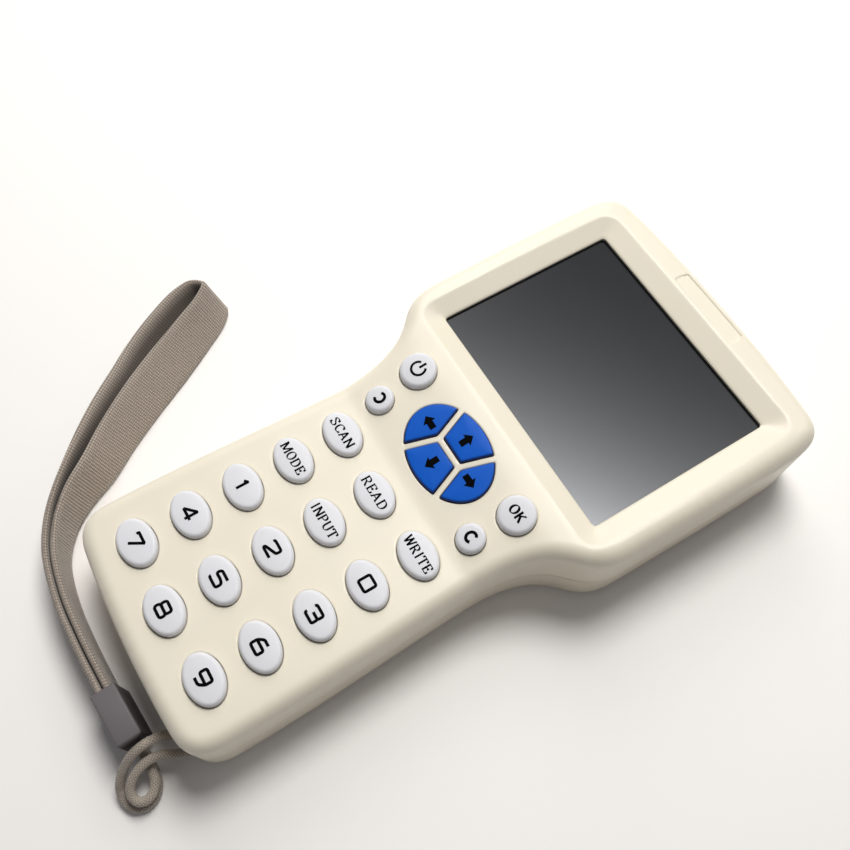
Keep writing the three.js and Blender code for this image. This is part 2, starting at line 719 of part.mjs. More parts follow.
function strapCord(route) {
  const section = new THREE.Shape();
  section.absellipse(0, 0, cordDiameter / 2, cordDiameter / 2, 0, Math.PI * 2);
  const geometry = new THREE.ExtrudeGeometry(section, {
    steps: 30,
    curveSegments: 4,
    bevelEnabled: false,
    extrudePath: smoothCurve(route),
  });
  return toSolid(geometry);
}

const material = (color, roughness, metalness = 0) =>
  new THREE.MeshStandardMaterial({ color, roughness, metalness });
const caseIvory = material("#e9dfc6", 0.42);
const keyWhite = material("#e6e7ea", 0.36);
const keyBlue = material("#1c5cc4", 0.38);
const displayGlass = material("#24272b", 0.06);
const displayDark = material("#15171a", 0.3);
const frameSteel = material("#9a9da1", 0.35, 0.9);
const foamBlack = material("#1f1f20", 0.9);
const boardGreen = material("#1f5a38", 0.5);
const siliconeGrey = material("#b9bcc0", 0.7);
const copper = material("#b3693a", 0.4, 0.9);
const ferriteGrey = material("#3b3a3a", 0.8);
const flexAmber = material("#a5651f", 0.45);
const buzzerBlack = material("#161616", 0.5);
const cellJacket = material("#39424c", 0.4);
const nickel = material("#b8b6b0", 0.3, 1);
const screwSteel = material("#77797c", 0.35, 1);
const webbingTaupe = material("#9a8d82", 0.9);
const clampGrey = material("#6e696b", 0.45, 0.2);

const scanner = new THREE.Group();

function place(name, solid, surface) {
  const mesh = new THREE.Mesh(toGeometry(solid), surface);
  mesh.name = name;
  scanner.add(mesh);
}

place("front_cover", frontCover(), caseIvory);
place("rear_cover", rearCover(), caseIvory);
place("battery_door", batteryDoor(), caseIvory);
place("screen_window", screenPlate(2, 1.7, windowLevel), displayGlass);
place("screen_gasket", screenFrame(1.8, 1.5, 1.2, gasketLevel), foamBlack);
place("display_panel", screenPlate(0.6, 0.7, panelLevel), displayDark);
place("display_frame", screenFrame(1.8, 1.7, 0.8, displayFrameLevel), frameSteel);
place("display_flex", displayFlex(), flexAmber);
place("main_board", mainBoard(), boardGreen);
place("keypad_mat", keypadMat(), siliconeGrey);
place("buzzer", buzzer(), buzzerBlack);
place("antenna_coil", antennaCoil(), copper);
place("antenna_board", plate(roundedRectangle(34, 105, 152, 2), ...antennaBoardLevel), boardGreen);
place("ferrite_sheet", plate(roundedRectangle(32, 107, 150, 2), ...ferriteLevel), ferriteGrey);
for (const key of [...ovalKeys, ...roundKeys]) place(key.name, keyCap(key), keyWhite);
for (const [name, solid] of Object.entries(arrowKeys())) place(name, solid, keyBlue);
for (let index = 0; index < 4; index++) {
  place(`battery_cell_${index + 1}`, cell(index), cellJacket);
  place(`contact_low_${index + 1}`, contact(index, false), nickel);
  place(`contact_high_${index + 1}`, contact(index, true), nickel);
}
screwPlaces.forEach((spot, i) => place(`case_screw_${i + 1}`, caseScrew(spot), screwSteel));
place("strap_webbing", webbing(), webbingTaupe);
place("strap_clamp", clamp(), clampGrey);
for (const [name, route] of Object.entries(cordRoutes)) place(name, strapCord(route), webbingTaupe);

export default scanner;
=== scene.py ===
import math

import bpy
import numpy as np
from mathutils import Matrix, Vector, geometry, kdtree


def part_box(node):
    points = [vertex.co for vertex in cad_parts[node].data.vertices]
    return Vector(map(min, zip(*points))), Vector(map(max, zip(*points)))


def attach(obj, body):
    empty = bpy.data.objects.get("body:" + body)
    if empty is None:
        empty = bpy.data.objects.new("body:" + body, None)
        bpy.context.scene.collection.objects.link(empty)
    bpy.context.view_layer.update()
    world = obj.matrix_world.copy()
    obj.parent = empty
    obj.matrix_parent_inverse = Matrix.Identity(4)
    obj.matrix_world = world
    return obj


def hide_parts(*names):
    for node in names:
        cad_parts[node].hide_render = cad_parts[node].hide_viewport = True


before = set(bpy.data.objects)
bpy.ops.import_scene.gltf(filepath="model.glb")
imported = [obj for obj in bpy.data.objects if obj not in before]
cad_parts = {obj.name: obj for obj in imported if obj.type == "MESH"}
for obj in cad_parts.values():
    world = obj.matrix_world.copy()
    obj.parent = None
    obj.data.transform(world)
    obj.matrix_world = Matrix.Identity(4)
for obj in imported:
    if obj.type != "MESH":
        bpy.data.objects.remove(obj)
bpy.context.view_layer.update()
scene = bpy.context.scene
mm = 0.001  # lengths below are millimetres, and Blender's unit here is the metre

# Driving sizes of the case, in millimetres.
coverBox = [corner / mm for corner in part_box("front_cover")]
rearTop = 10.85  # where the rear cover's outer wall ends, under the seam
caseSize = {
    "length": coverBox[1].y - coverBox[0].y,
    "parting": (coverBox[0].z + rearTop) / 2,
    "partingGap": 0.12,
    "wall": 2.09,
    "gripTop": 21.7,
    "rimLow": 25.6,
    "ridgeTop": 26.0,
    "endTop": 24.8,
    "rampStart": 71.5,
    "rimStart": 91.5,
    "ridgeLow": 97.3,
    "ridgeHigh": 158.5,
    "ridgeHalf": 37.4,
    "windowHalf": 32.4,
    "windowLow": 102.7,
    "windowHigh": 153.2,
    "lip": 23.4,
    "bulge": 0.4,
    "cornerPower": 2.2,  # the lower, the rounder the ridge turns its corners
    "sideFall": 0.13,  # slope of the rim beside the ridge
    "upperRadius": 3.6,
    "lowerRadius": 2.4,
}
half = caseSize["length"] / 2  # distance along the case is y plus this


# Camera: metres in the frame, and the directions it looks and has at its right.
cameraSettings = {
    "place": (0.06542, -0.05322, 0.21569),
    "forward": (-0.351135, 0.246308, -0.903347),
    "right": (0.520442, 0.853356, 0.030380),
    "lens": 37.66,
    "sensor": 36.0,
}


def makeCamera(settings):
    data = bpy.data.cameras.new("camera")
    data.lens = settings["lens"]
    data.sensor_width = settings["sensor"]
    data.clip_start = 0.01
    camera = bpy.data.objects.new("camera", data)
    right = Vector(settings["right"]).normalized()
    back = -Vector(settings["forward"]).normalized()
    up = back.cross(right).normalized()
    turn = Matrix((right, up, back)).transposed().to_4x4()
    camera.matrix_world = Matrix.Translation(settings["place"]) @ turn
    scene.collection.objects.link(camera)
    scene.camera = camera


makeCamera(cameraSettings)
print("camera placed")


def hexColour(text):
    channels = [int(text[i : i + 2], 16) / 255 for i in (1, 3, 5)]
    linear = [c / 12.92 if c <= 0.04045 else ((c + 0.055) / 1.055) ** 2.4 for c in channels]
    return (*linear, 1.0)


# Adds a node. Lower-case settings are the node's own, the others are its inputs.
def addNode(material, kind, settings=None, links=None):
    node = material.node_tree.nodes.new(kind)
    for name, value in (settings or {}).items():
        if isinstance(name, str) and name[0].islower():
            setattr(node, name, value)
        else:
            node.inputs[name].default_value = value
    for name, socket in (links or {}).items():
        material.node_tree.links.new(socket, node.inputs[name])
    return node


def startMaterial(name, shaderSettings):
    material = bpy.data.materials.new(name)
    material.use_nodes = True
    material.node_tree.nodes.clear()
    shader = addNode(material, "ShaderNodeBsdfPrincipled", shaderSettings)
    addNode(material, "ShaderNodeOutputMaterial", {}, {"Surface": shader.outputs["BSDF"]})
    return material, shader


def joinInto(material, socket, target):
    material.node_tree.links.new(socket, target)


def meshObject(name, points, faces):
    mesh = bpy.data.meshes.new(name)
    mesh.from_pydata([tuple(point) for point in np.asarray(points, float) * mm], [], faces)
    mesh.update()
    made = bpy.data.objects.new(name, mesh)
    scene.collection.objects.link(made)
    return made


# Makes a finished piece that rides on a CAD body. A mask is an attribute's name and its values.
def addPiece(name, points, faces, material, body, stands=(), sharp=38, uvs=None, mask=None):
    piece = meshObject(name, points, faces)
    mesh = piece.data
    mesh.materials.append(material)
    mesh.shade_smooth()
    mesh.set_sharp_from_angle(angle=math.radians(sharp))
    if uvs is not None:
        layer = mesh.uv_layers.new(name="along")
        corners = np.zeros(len(mesh.loops), int)
        mesh.loops.foreach_get("vertex_index", corners)
        layer.data.foreach_set("uv", np.asarray(uvs, float)[corners].ravel())
    if mask is not None:
        maskName, values = mask
        mesh.attributes.new(maskName, "FLOAT", "POINT").data.foreach_set("value", values)
    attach(piece, body)
    if stands:
        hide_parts(*stands)
    return piece


# Lifts a plan loop of (x, distance along the case) to a height, in the frame's axes.
def atHeight(loop, z):
    return np.column_stack([loop[:, 0], loop[:, 1] - half, np.broadcast_to(z, len(loop))])


def bandFaces(first, second):
    n = len(first)
    return [(first[i], second[i], second[(i + 1) % n], first[(i + 1) % n]) for i in range(n)]


# A quarter circle of the radius: how far in from the side, and how far below the top.
def roundedEdge(radius, k, steps):
    angle = math.pi / 2 * k / steps
    return radius * (1 - math.cos(angle)), radius * (1 - math.sin(angle))


# Joins rings of equal point count into a tube of quads; an end may be closed by a fan.
def loftRings(rings, closeLow=True, closeHigh=True):
    count = len(rings[0])
    points = [point for ring in rings for point in ring]
    faces = []
    for level in range(len(rings) - 1):
        for i in range(count):
            a = level * count + i
            b = level * count + (i + 1) % count
            faces.append((a, b, b + count, a + count))
    if closeLow:
        points.append(np.mean(rings[0], axis=0))
        faces += [((i + 1) % count, i, len(points) - 1) for i in range(count)]
    if closeHigh:
        points.append(np.mean(rings[-1], axis=0))
        top = (len(rings) - 1) * count
        faces += [(top + i, top + (i + 1) % count, len(points) - 1) for i in range(count)]
    return np.array(points), faces


# A centripetal Catmull-Rom line through the points, at the places t (0 at the first point).
def splineAt(points, t):
    points = np.asarray(points, float)
    padded = np.vstack([2 * points[0] - points[1], points, 2 * points[-1] - points[-2]])
    index = np.clip(np.floor(t).astype(int), 0, len(points) - 2)
    w = (t - index)[:, None]
    p0, p1, p2, p3 = (padded[index + k] for k in range(4))
    d0, d1, d2 = (
        np.sqrt(np.linalg.norm(b - a, axis=1))[:, None] + 1e-9
        for a, b in ((p0, p1), (p1, p2), (p2, p3))
    )
    m1 = ((p1 - p0) / d0 - (p2 - p0) / (d0 + d1) + (p2 - p1) / d1) * d1
    m2 = ((p2 - p1) / d1 - (p3 - p1) / (d1 + d2) + (p3 - p2) / d2) * d1
    return (
        p1
        + m1 * w
        + (3 * (p2 - p1) - 2 * m1 - m2) * w**2
        + (2 * (p1 - p2) + m1 + m2) * w**3
    )


# Places t whose points on the line lie an even step apart, with the distance run at each.
def evenPlaces(lineAt, last, step):
    fine = np.linspace(0, last, 4000)
    run = np.concatenate([[0], np.cumsum(np.linalg.norm(np.diff(lineAt(fine), axis=0), axis=1))])
    count = int(round(run[-1] / step)) + 1
    wanted = np.linspace(0, run[-1], count)
    return np.interp(wanted, run, fine), wanted


print("making materials")
waveBands = 20 / (2 * math.pi)  # bands a wave texture makes in one metre at scale one


# Gives a shader its colour, between two tints, and its relief.
def finishSurface(material, shader, dark, light, share, height, strength, depth):
    tint = addNode(material, "ShaderNodeMix", {"data_type": "RGBA", 6: dark, 7: light}, {0: share})
    joinInto(material, tint.outputs[2], shader.inputs["Base Color"])
    relief = {"Strength": strength, "Distance": depth * mm}
    bump = addNode(material, "ShaderNodeBump", relief, {"Height": height})
    joinInto(material, bump.outputs[0], shader.inputs["Normal"])
    return tint


# A moulded or printed surface: two tints in patches, and a fine skin that stirs gloss and relief.
# With a mask, the tints follow that attribute of the mesh instead.
def mouldedSurface(name, light, dark, s):
    material, shader = startMaterial(name, {"Roughness": s["rough"], **s.get("shader", {})})
    place = {"Vector": addNode(material, "ShaderNodeTexCoord").outputs["Object"]}
    skinSettings = {"Scale": 1 / (s["grain"] * mm), "Detail": 2.0, "Roughness": 0.6}
    skin = addNode(material, "ShaderNodeTexNoise", skinSettings, place).outputs[0]
    if "mask" in s:
        share = addNode(material, "ShaderNodeAttribute", {"attribute_name": s["mask"]}).outputs[2]
    else:
        kind = s.get("texture", "ShaderNodeTexNoise")
        share = addNode(material, kind, {"Scale": 1 / (s["patch"] * mm)}, place).outputs[0]
    spread = {"To Min": s["rough"] - s["stir"], "To Max": s["rough"] + s["stir"]}
    gloss = addNode(material, "ShaderNodeMapRange", spread, {"Value": skin})
    joinInto(material, gloss.outputs[0], shader.inputs["Roughness"])
    finishSurface(material, shader, hexColour(dark), hexColour(light), share, skin, 0.5, s["depth"])
    return material


# Injection-moulded ABS with a fine spark-eroded skin: a soft sheen that breaks up a little.
absSkin = {
    "rough": 0.38, "stir": 0.05, "patch": 28, "grain": 0.45, "depth": 0.012,
    "shader": {"IOR": 1.54, "Specular IOR Level": 0.62},
}
caseAbs = mouldedSurface("abs_ivory_moulded", "#efe8d6", "#e9e1cd", absSkin)
rearAbs = mouldedSurface("abs_ivory_rear_moulded", "#e8dfcc", "#e0d6c1", {**absSkin, "rough": 0.45})
# Silicone rubber key, tinted cool white and a little translucent: a soft satin surface.
keySkin = {
    "rough": 0.41, "stir": 0.06, "patch": 6, "grain": 0.5, "depth": 0.007,
    "shader": {
        "IOR": 1.45, "Subsurface Weight": 0.2, "Subsurface Radius": (1.0, 0.95, 0.9),
        "Subsurface Scale": 1.2 * mm,
    },
}
whiteKeys = mouldedSurface("silicone_key_white_moulded", "#e2e2e6", "#dedee2", keySkin)
# Blue pigmented silicone: deep colour and satin sheen, with painted shade, darker where the cap rolls over
# its edge.
blueWithEdgeShade = {
    "rough": 0.46, "stir": 0.05, "grain": 0.5, "depth": 0.007, "mask": "middle",
    "shader": {"IOR": 1.46, "Specular IOR Level": 0.3},
}
blueKeys = mouldedSurface("silicone_key_blue_moulded", "#0a58c0", "#0a2870", blueWithEdgeShade)
# Pad-printed ink: thin, matt, nearly black, with a trace of uneven cover.
inkSkin = {
    "rough": 0.65, "stir": 0.04, "patch": 0.3, "grain": 0.3, "depth": 0.002,
    "shader": {"Specular IOR Level": 0.05},
}
inkBlack = mouldedSurface("ink_black_pad_printed", "#070708", "#030303", inkSkin)
# Powder-coated steel with a faint orange-peel skin: mid grey on top; below the top, painted shade, near
# black, for the shade between the sleeve and the case.
coatAndShadeSkin = {"rough": 0.5, "stir": 0.04, "grain": 0.6, "depth": 0.012, "mask": "upper"}
clampCoatAndShade = mouldedSurface("steel_grey_coated_shade_painted", "#6b6668", "#1d1b1a", coatAndShadeSkin)


# Smoked acrylic over a switched-off panel: almost black, mirror-like, with faint wipe marks.
def smokedAcrylic():
    plain = {"Base Color": hexColour("#191a1d"), "IOR": 1.49, "Roughness": 0.08}
    material, shader = startMaterial("acrylic_smoked_cast", plain)
    place = addNode(material, "ShaderNodeTexCoord").outputs["Object"]
    along = {"Scale": (1 / (40 * mm), 1 / (9 * mm), 1.0), "Rotation": (0, 0, 0.5)}
    stretched = addNode(material, "ShaderNodeMapping", along, {"Vector": place}).outputs[0]
    wipe = addNode(material, "ShaderNodeTexNoise", {"Scale": 1.0, "Detail": 4.0}, {"Vector": stretched})
    spread = {"To Min": 0.06, "To Max": 0.12}
    gloss = addNode(material, "ShaderNodeMapRange", spread, {"Value": wipe.outputs[0]})
    joinInto(material, gloss.outputs[0], shader.inputs["Roughness"])
    return material


# Dull yarns with painted light and shade, bright where the pattern rises and dark where it falls, and loose
# fibres of uneven tone over them.
def yarnSurface(material, shader, uv, dark, light, pattern, s):
    fibres = {"Scale": 1 / (s["fibre"] * mm), "Detail": 3.0}
    fuzz = addNode(material, "ShaderNodeTexNoise", fibres, {"Vector": uv}).outputs[0]
    adding = {"operation": "MULTIPLY_ADD", 1: s["fuzz"]}
    mixed = addNode(material, "ShaderNodeMath", adding, {0: fuzz, 2: pattern}).outputs[0]
    span = {"From Min": s["from"], "From Max": s["to"]}
    level = addNode(material, "ShaderNodeMapRange", span, {"Value": mixed}).outputs[0]
    colours = hexColour(dark), hexColour(light)
    return finishSurface(material, shader, *colours, level, mixed, 0.7, s["relief"])


# Woven polyester tape: ribs across the tape, each rib broken up by the lengthways yarns. The face
# inside the loop gets painted shade: a browner and darker tint below its edge, for the shade there.
def wovenTape(name, light, dark, insideShadeTint, ribPitch, yarn):
    dull = {"IOR": 1.5, "Roughness": 0.85, "Sheen Weight": 0.25, "Sheen Roughness": 0.5}
    material, shader = startMaterial(name, dull)
    uv = addNode(material, "ShaderNodeUVMap", {"uv_map": "along"}).outputs[0]
    waves = {}
    for direction, pitch, distortion in (("X", ribPitch, 0.6), ("Y", yarn, 1.2)):
        bands = {"wave_type": "BANDS", "bands_direction": direction, "Distortion": distortion}
        bands["Scale"] = 1 / (pitch * mm * waveBands)
        waves[len(waves)] = addNode(material, "ShaderNodeTexWave", bands, {"Vector": uv}).outputs["Fac"]
    weave = addNode(material, "ShaderNodeMath", {"operation": "MULTIPLY"}, waves).outputs[0]
    yarns = {"fibre": 0.35, "fuzz": 0.7, "from": 0.25, "to": 1.05, "relief": 0.12}
    tint = yarnSurface(material, shader, uv, dark, light, weave, yarns)
    # painted shade: one on the outer face, lower on the face inside the loop below its edge
    outer = addNode(material, "ShaderNodeAttribute", {"attribute_name": "outer"}).outputs[2]
    colours = {"data_type": "RGBA", 6: hexColour(insideShadeTint)}
    shade = addNode(material, "ShaderNodeMix", colours, {0: outer, 7: tint.outputs[2]})
    joinInto(material, shade.outputs[2], shader.inputs["Base Color"])
    return material


# Braided polyester cord: yarns in two opposite spirals, seen as a fine speckled diamond pattern of painted
# light and shade.
def braidedCord(name, light, dark, pitch, around):
    material, shader = startMaterial(name, {"IOR": 1.5, "Roughness": 0.8, "Sheen Weight": 0.25})
    uv = addNode(material, "ShaderNodeUVMap", {"uv_map": "along"}).outputs[0]
    apart = addNode(material, "ShaderNodeSeparateXYZ", {}, {"Vector": uv}).outputs
    turns = {"operation": "MULTIPLY", 1: 2 * math.pi / (pitch * mm)}
    run = addNode(material, "ShaderNodeMath", turns, {0: apart[0]}).outputs[0]
    spirals = {}
    for hand in (1, -1):
        winding = {"operation": "MULTIPLY_ADD", 1: hand * 2 * math.pi * around}
        phase = addNode(material, "ShaderNodeMath", winding, {0: apart[1], 2: run}).outputs[0]
        spiral = addNode(material, "ShaderNodeMath", {"operation": "SINE"}, {0: phase}).outputs[0]
        spirals[len(spirals)] = spiral
    braid = addNode(material, "ShaderNodeMath", {"operation": "MAXIMUM"}, spirals).outputs[0]
    yarns = {"fibre": 0.25, "fuzz": 1.1, "from": 0.2, "to": 1.5, "relief": 0.08}
    yarnSurface(material, shader, uv, dark, light, braid, yarns)
    return material


# A metal with a fine grain from how it was worked: rolled, drawn or plated.
def workedMetal(name, colour, roughness, stretch=(1, 1, 1), grain=0.3):
    plain = {"Base Color": hexColour(colour), "Metallic": 1.0, "Roughness": roughness}
    material, shader = startMaterial(name, plain)
    place = addNode(material, "ShaderNodeTexCoord").outputs["Object"]
    stretched = addNode(material, "ShaderNodeMapping", {"Scale": stretch}, {"Vector": place}).outputs[0]
    fine = {"Scale": 1 / (grain * mm), "Detail": 3.0}
    lines = addNode(material, "ShaderNodeTexNoise", fine, {"Vector": stretched}).outputs[0]
    spread = {"To Min": roughness - 0.1, "To Max": roughness + 0.12}
    gloss = addNode(material, "ShaderNodeMapRange", spread, {"Value": lines})
    joinInto(material, gloss.outputs[0], shader.inputs["Roughness"])
    relief = {"Strength": 0.3, "Distance": 0.01 * mm}
    bump = addNode(material, "ShaderNodeBump", relief, {"Height": lines})
    joinInto(material, bump.outputs[0], shader.inputs["Normal"])
    return material


screenAcrylic = smokedAcrylic()
# the third tint is painted shade, for the shade on the face inside the loop
strapTape = wovenTape("polyester_tape_taupe_woven", "#c0b4a8", "#786d63", "#3a322b", 0.75, 0.55)
# tape and cord: light and dark tints carry the weave's painted light and shade and the fibres' own tone
strapBraid = braidedCord("polyester_cord_taupe_braided", "#bbb0a3", "#8b8074", 0.7, 8)

# Wrist strap.
strap = {
    "thickness": 1.5,
    "ribPitch": 0.75,
    "ribDepth": 0.11,
    "stepsPerRib": 4,
    "acrossPoints": 15,
    "innerSide": -1,
    # painted shade on the face inside the loop: how much darker at most, and over which band below the edge
    "insideShadeMost": 0.8,
    "insideShadeBand": (0.1, 0.3),  # shares of the width below the edge where it starts and is full
    # the tape's two edges: out of the clamp, past the case's corner, over its fold and back
    "topEdge": [
        (13.5, -90.9, 12.6), (5.5, -91.4, 12.6), (-9, -92, 12.6), (-20, -91.7, 12.6),
        (-30.6, -89.8, 12.6), (-38, -86.3, 12.4), (-43.7, -81.8, 12.2), (-50, -74.5, 11.6),
        (-56.5, -67.7, 10.6), (-64.1, -58.1, 9.6), (-70.2, -48.8, 8.9), (-75.6, -38.8, 9),
        (-79.9, -30.2, 9.9), (-82.4, -27.5, 10.6), (-84.8, -30.2, 10.2), (-84.6, -35.4, 9.4),
        (-80.7, -44.2, 9), (-75.4, -52.5, 9.2), (-70, -59, 9.9), (-64.3, -65.6, 11),
        (-59.2, -70.8, 12), (-52.8, -77, 12.5), (-45.9, -83.2, 12.6), (-39.3, -88, 12.6),
        (-31.4, -91.6, 12.6), (-20.2, -93.6, 12.6), (-9, -93.9, 12.6), (5.3, -93.3, 12.6),
        (13.3, -92.8, 12.6),
    ],
    "lowEdge": [
        (13.5, -90.9, 0.4), (5.5, -91.4, 0.4), (-9, -92, 0.4), (-20, -91.7, 0.4),
        (-30.4, -89.6, 0.4), (-37.1, -85.3, 0.4), (-41.6, -79.5, 0.4), (-45.8, -71.2, 0.4),
        (-51.2, -63.4, 0.4), (-57.3, -53.3, 0.4), (-62.7, -43.7, 0.4), (-68.6, -34.1, 0.4),
        (-73.8, -26.6, 0.4), (-77.2, -24.2, 0.4), (-79.4, -26.6, 0.4), (-77.6, -31.4, 0.4),
        (-73.2, -39.8, 0.4), (-68.1, -47.7, 0.4), (-63, -54, 0.4), (-58.7, -61.1, 0.4),
        (-55, -67.3, 0.4), (-50.5, -75, 0.4), (-45.4, -82.7, 0.4), (-39.2, -87.9, 0.4),
        (-31.4, -91.6, 0.4), (-20.2, -93.6, 0.4), (-9, -93.9, 0.4), (5.3, -93.3, 0.4),
        (13.3, -92.8, 0.4),
    ],
}


def makeWebbing(s):
    last = len(s["topEdge"]) - 1

    def middle(t):
        return (splineAt(s["topEdge"], t) + splineAt(s["lowEdge"], t)) / 2

    places, run = evenPlaces(middle, last, s["ribPitch"] / s["stepsPerRib"])
    top = splineAt(s["topEdge"], places)
    low = splineAt(s["lowEdge"], places)
    course = np.gradient(middle(places), axis=0)
    across = top - low
    width = np.linalg.norm(across, axis=1)[:, None]
    across = across / width
    outward = np.cross(course, across)
    outward /= np.linalg.norm(outward, axis=1)[:, None]
    phase = 2 * math.pi * run / s["ribPitch"]
    # once round the tape: up one face, over the top edge and down the other
    n = s["acrossPoints"]
    share = np.concatenate([np.linspace(0, 1, n), np.linspace(1, 0, n)])
    side = np.concatenate([np.ones(n), -np.ones(n)])
    rings = []
    for i in range(len(places)):
        fromEdge = np.minimum(share, 1 - share) * width[i, 0]
        selvage = np.clip((2.0 - fromEdge) / 0.5, 0, 1)
        rib = s["ribDepth"] * (0.5 - 0.5 * np.cos(phase[i] + np.where(side > 0, 0, math.pi)))
        roundOff = np.sqrt(np.clip(fromEdge / 0.45, 0.05, 1))
        halfThick = (s["thickness"] / 2 - rib * (1 - 0.6 * selvage)) * roundOff
        rings.append(
            low[i] + share[:, None] * width[i, 0] * across[i] + (side * halfThick)[:, None] * outward[i]
        )
    points, faces = loftRings(rings)
    uvs = [(run[i] * mm, (k * width[i, 0]) * mm) for i in range(len(places)) for k in share]
    uvs += [(0, 0), (run[-1] * mm, 0)]
    # painted shade on the face inside the loop, from its band below the edge downwards
    inner = np.where(side * s["innerSide"] > 0, np.interp(1 - share, s["insideShadeBand"], (0, 1)), 0)
    outer = np.append(np.tile(1 - s["insideShadeMost"] * inner, len(places)), (1, 1))
    return points, faces, uvs, outer, run[-1], float(width.mean())


points, faces, uvs, outer, tapeLength, tapeWidth = makeWebbing(strap)
# the outer attribute carries the tape's painted shade inside the loop
webbing = addPiece(
    "webbing_tape", points, faces, strapTape, "case", ["strap_webbing"], 60, uvs,
    ("outer", outer),
)

clampSettings = {
    "centre": (11.8, -91.85, 6.6),
    "turn": 4.2,
    "size": (12.8, 5.8, 13.2),
    "corner": 0.55,
    "cornerSteps": 4,
    "mouth": (4.4, 12.3),
    # height above the sleeve's middle where its painted shade ends
    "shadeEndsAt": 5.8,  # above the sleeve's middle
}


# A folded steel sleeve: a rounded tube along the tape, closed at the cord's end but for a slot.
def makeClamp(s):
    def section(width, height, radius, x):
        corners = [(1, 1, 0), (-1, 1, 90), (-1, -1, 180), (1, -1, 270)]
        ring = []
        for signY, signZ, start in corners:
            for step in range(s["cornerSteps"] + 1):
                angle = math.radians(start + 90 * step / s["cornerSteps"])
                y = signY * (width / 2 - radius) + radius * math.cos(angle)
                z = signZ * (height / 2 - radius) + radius * math.sin(angle)
                ring.append((x, y, z))
        return np.array(ring)

    length, width, height = s["size"]
    r = s["corner"]
    lip = 0.15
    mouthWidth, mouthHeight = s["mouth"]
    stations = [
        (-length / 2 + 8, mouthWidth, mouthHeight, r * 0.7),
        (-length / 2 + lip, mouthWidth, mouthHeight, r * 0.7),
        (-length / 2, mouthWidth + 2 * lip, mouthHeight + 2 * lip, r * 0.8),
        (-length / 2, width - 2 * lip, height - 2 * lip, r * 0.9),
        (-length / 2 + lip, width, height, r),
        (length / 2 - 0.5, width, height, r),
        (length / 2 - 0.15, width - 0.3, height - 0.3, r * 0.9),
        (length / 2, width - 0.9, height - 0.9, r * 0.6),
    ]
    rings = [section(w, h, radius, x) for x, w, h, radius in stations]
    points, faces = loftRings(rings)
    turn = math.radians(s["turn"])
    spin = np.array(
        [[math.cos(turn), -math.sin(turn), 0], [math.sin(turn), math.cos(turn), 0], [0, 0, 1]]
    )
    return points @ spin.T + np.array(s["centre"]), faces


points, faces = makeClamp(clampSettings)
# painted shade: near black below the sleeve's top, mid grey on the top
height = points[:, 2] - clampSettings["centre"][2] - clampSettings["shadeEndsAt"]
mask = ("upper", np.clip(height / 0.6, 0, 1))
clamp = addPiece(
    "strap_clamp_sleeve", points, faces, clampCoatAndShade, "case", ["strap_clamp"], 50, mask=mask
)

cordSettings = {
    "diameter": 2.2,
    "sides": 28,
    "step": 0.14,
    "turn": 6.6,  # length of one turn of a spiral yarn
    "yarns": 6,  # yarns in each hand of the braid
    "depth": 0.045,
    "routes": {
        "strap_cord_upper": [
            (20.2, -81.6, 5.5), (20.2, -83.6, 5.7), (19.9, -85.4, 7.4), (19.8, -87.6, 9.2),
            (19.9, -90, 9.9), (20.3, -92.7, 9.1), (21.3, -95.4, 7.2), (22.7, -97.6, 5),
            (24.5, -99, 2.9), (26.8, -99.3, 1.6), (29.1, -98.3, 1.2), (30.1, -95.9, 1.2),
            (29.4, -93.5, 1.2), (27.2, -91.8, 1.25), (24.5, -91.3, 1.4), (21.5, -91.3, 1.9),
            (18.9, -91.4, 2.3),
        ],
        "strap_cord_lower": [
            (25.2, -81.4, 5.5), (25.2, -83.4, 5.6), (24.3, -85.5, 6.1), (23.1, -87.9, 6.7),
            (22.8, -90.6, 7), (23.3, -93.2, 6.6), (24.4, -95.4, 5.8), (25.9, -96.8, 4.8),
            (27.6, -97.1, 4.1), (29, -96.3, 3.8), (29.4, -94.4, 3.7), (28.5, -92.8, 3.7),
            (26.6, -91.6, 3.8), (24, -91.3, 4.1), (21.4, -91.4, 4.6), (18.9, -91.4, 5),
        ],
    },
}


# A tube round the route, whose surface rises along two opposite spirals of yarn.
def makeCord(s, route):
    def line(t):
        return splineAt(route, t)

    places, run = evenPlaces(line, len(route) - 1, s["step"])
    path = line(places)
    course = np.gradient(path, axis=0)
    course /= np.linalg.norm(course, axis=1)[:, None]
    normal = np.cross(course[0], (0, 0, 1.0))
    angles = np.linspace(0, 2 * math.pi, s["sides"], endpoint=False)
    rings = []
    for i, point in enumerate(path):
        normal = normal - normal.dot(course[i]) * course[i]
        normal /= np.linalg.norm(normal)
        second = np.cross(course[i], normal)
        lengthways = 2 * math.pi * run[i] * s["yarns"] / s["turn"]
        left = np.sin(s["yarns"] * angles + lengthways)
        right = np.sin(s["yarns"] * angles - lengthways)
        radius = s["diameter"] / 2 - s["depth"] + s["depth"] * np.maximum(left, right)
        around = np.cos(angles)[:, None] * normal + np.sin(angles)[:, None] * second
        rings.append(point + radius[:, None] * around)
    points, faces = loftRings(rings)
    uvs = [(run[i] * mm, k / s["sides"]) for i in range(len(path)) for k in range(s["sides"])]
    uvs += [(0, 0), (run[-1] * mm, 0)]
    return points, faces, uvs, path, run[-1]


for name, route in cordSettings["routes"].items():
    points, faces, uvs, path, cordLength = makeCord(cordSettings, route)
    braided = addPiece(name + "_braid", points, faces, strapBraid, "case", [name], 60, uvs)
    tuple(np.array(route[1]) * mm)
    [tuple(point * mm) for point in path[::4]]
    print(name, "length in mm", round(cordLength, 1))
print("strap made, tape", round(tapeWidth, 1), "x", round(tapeLength, 1), "mm")


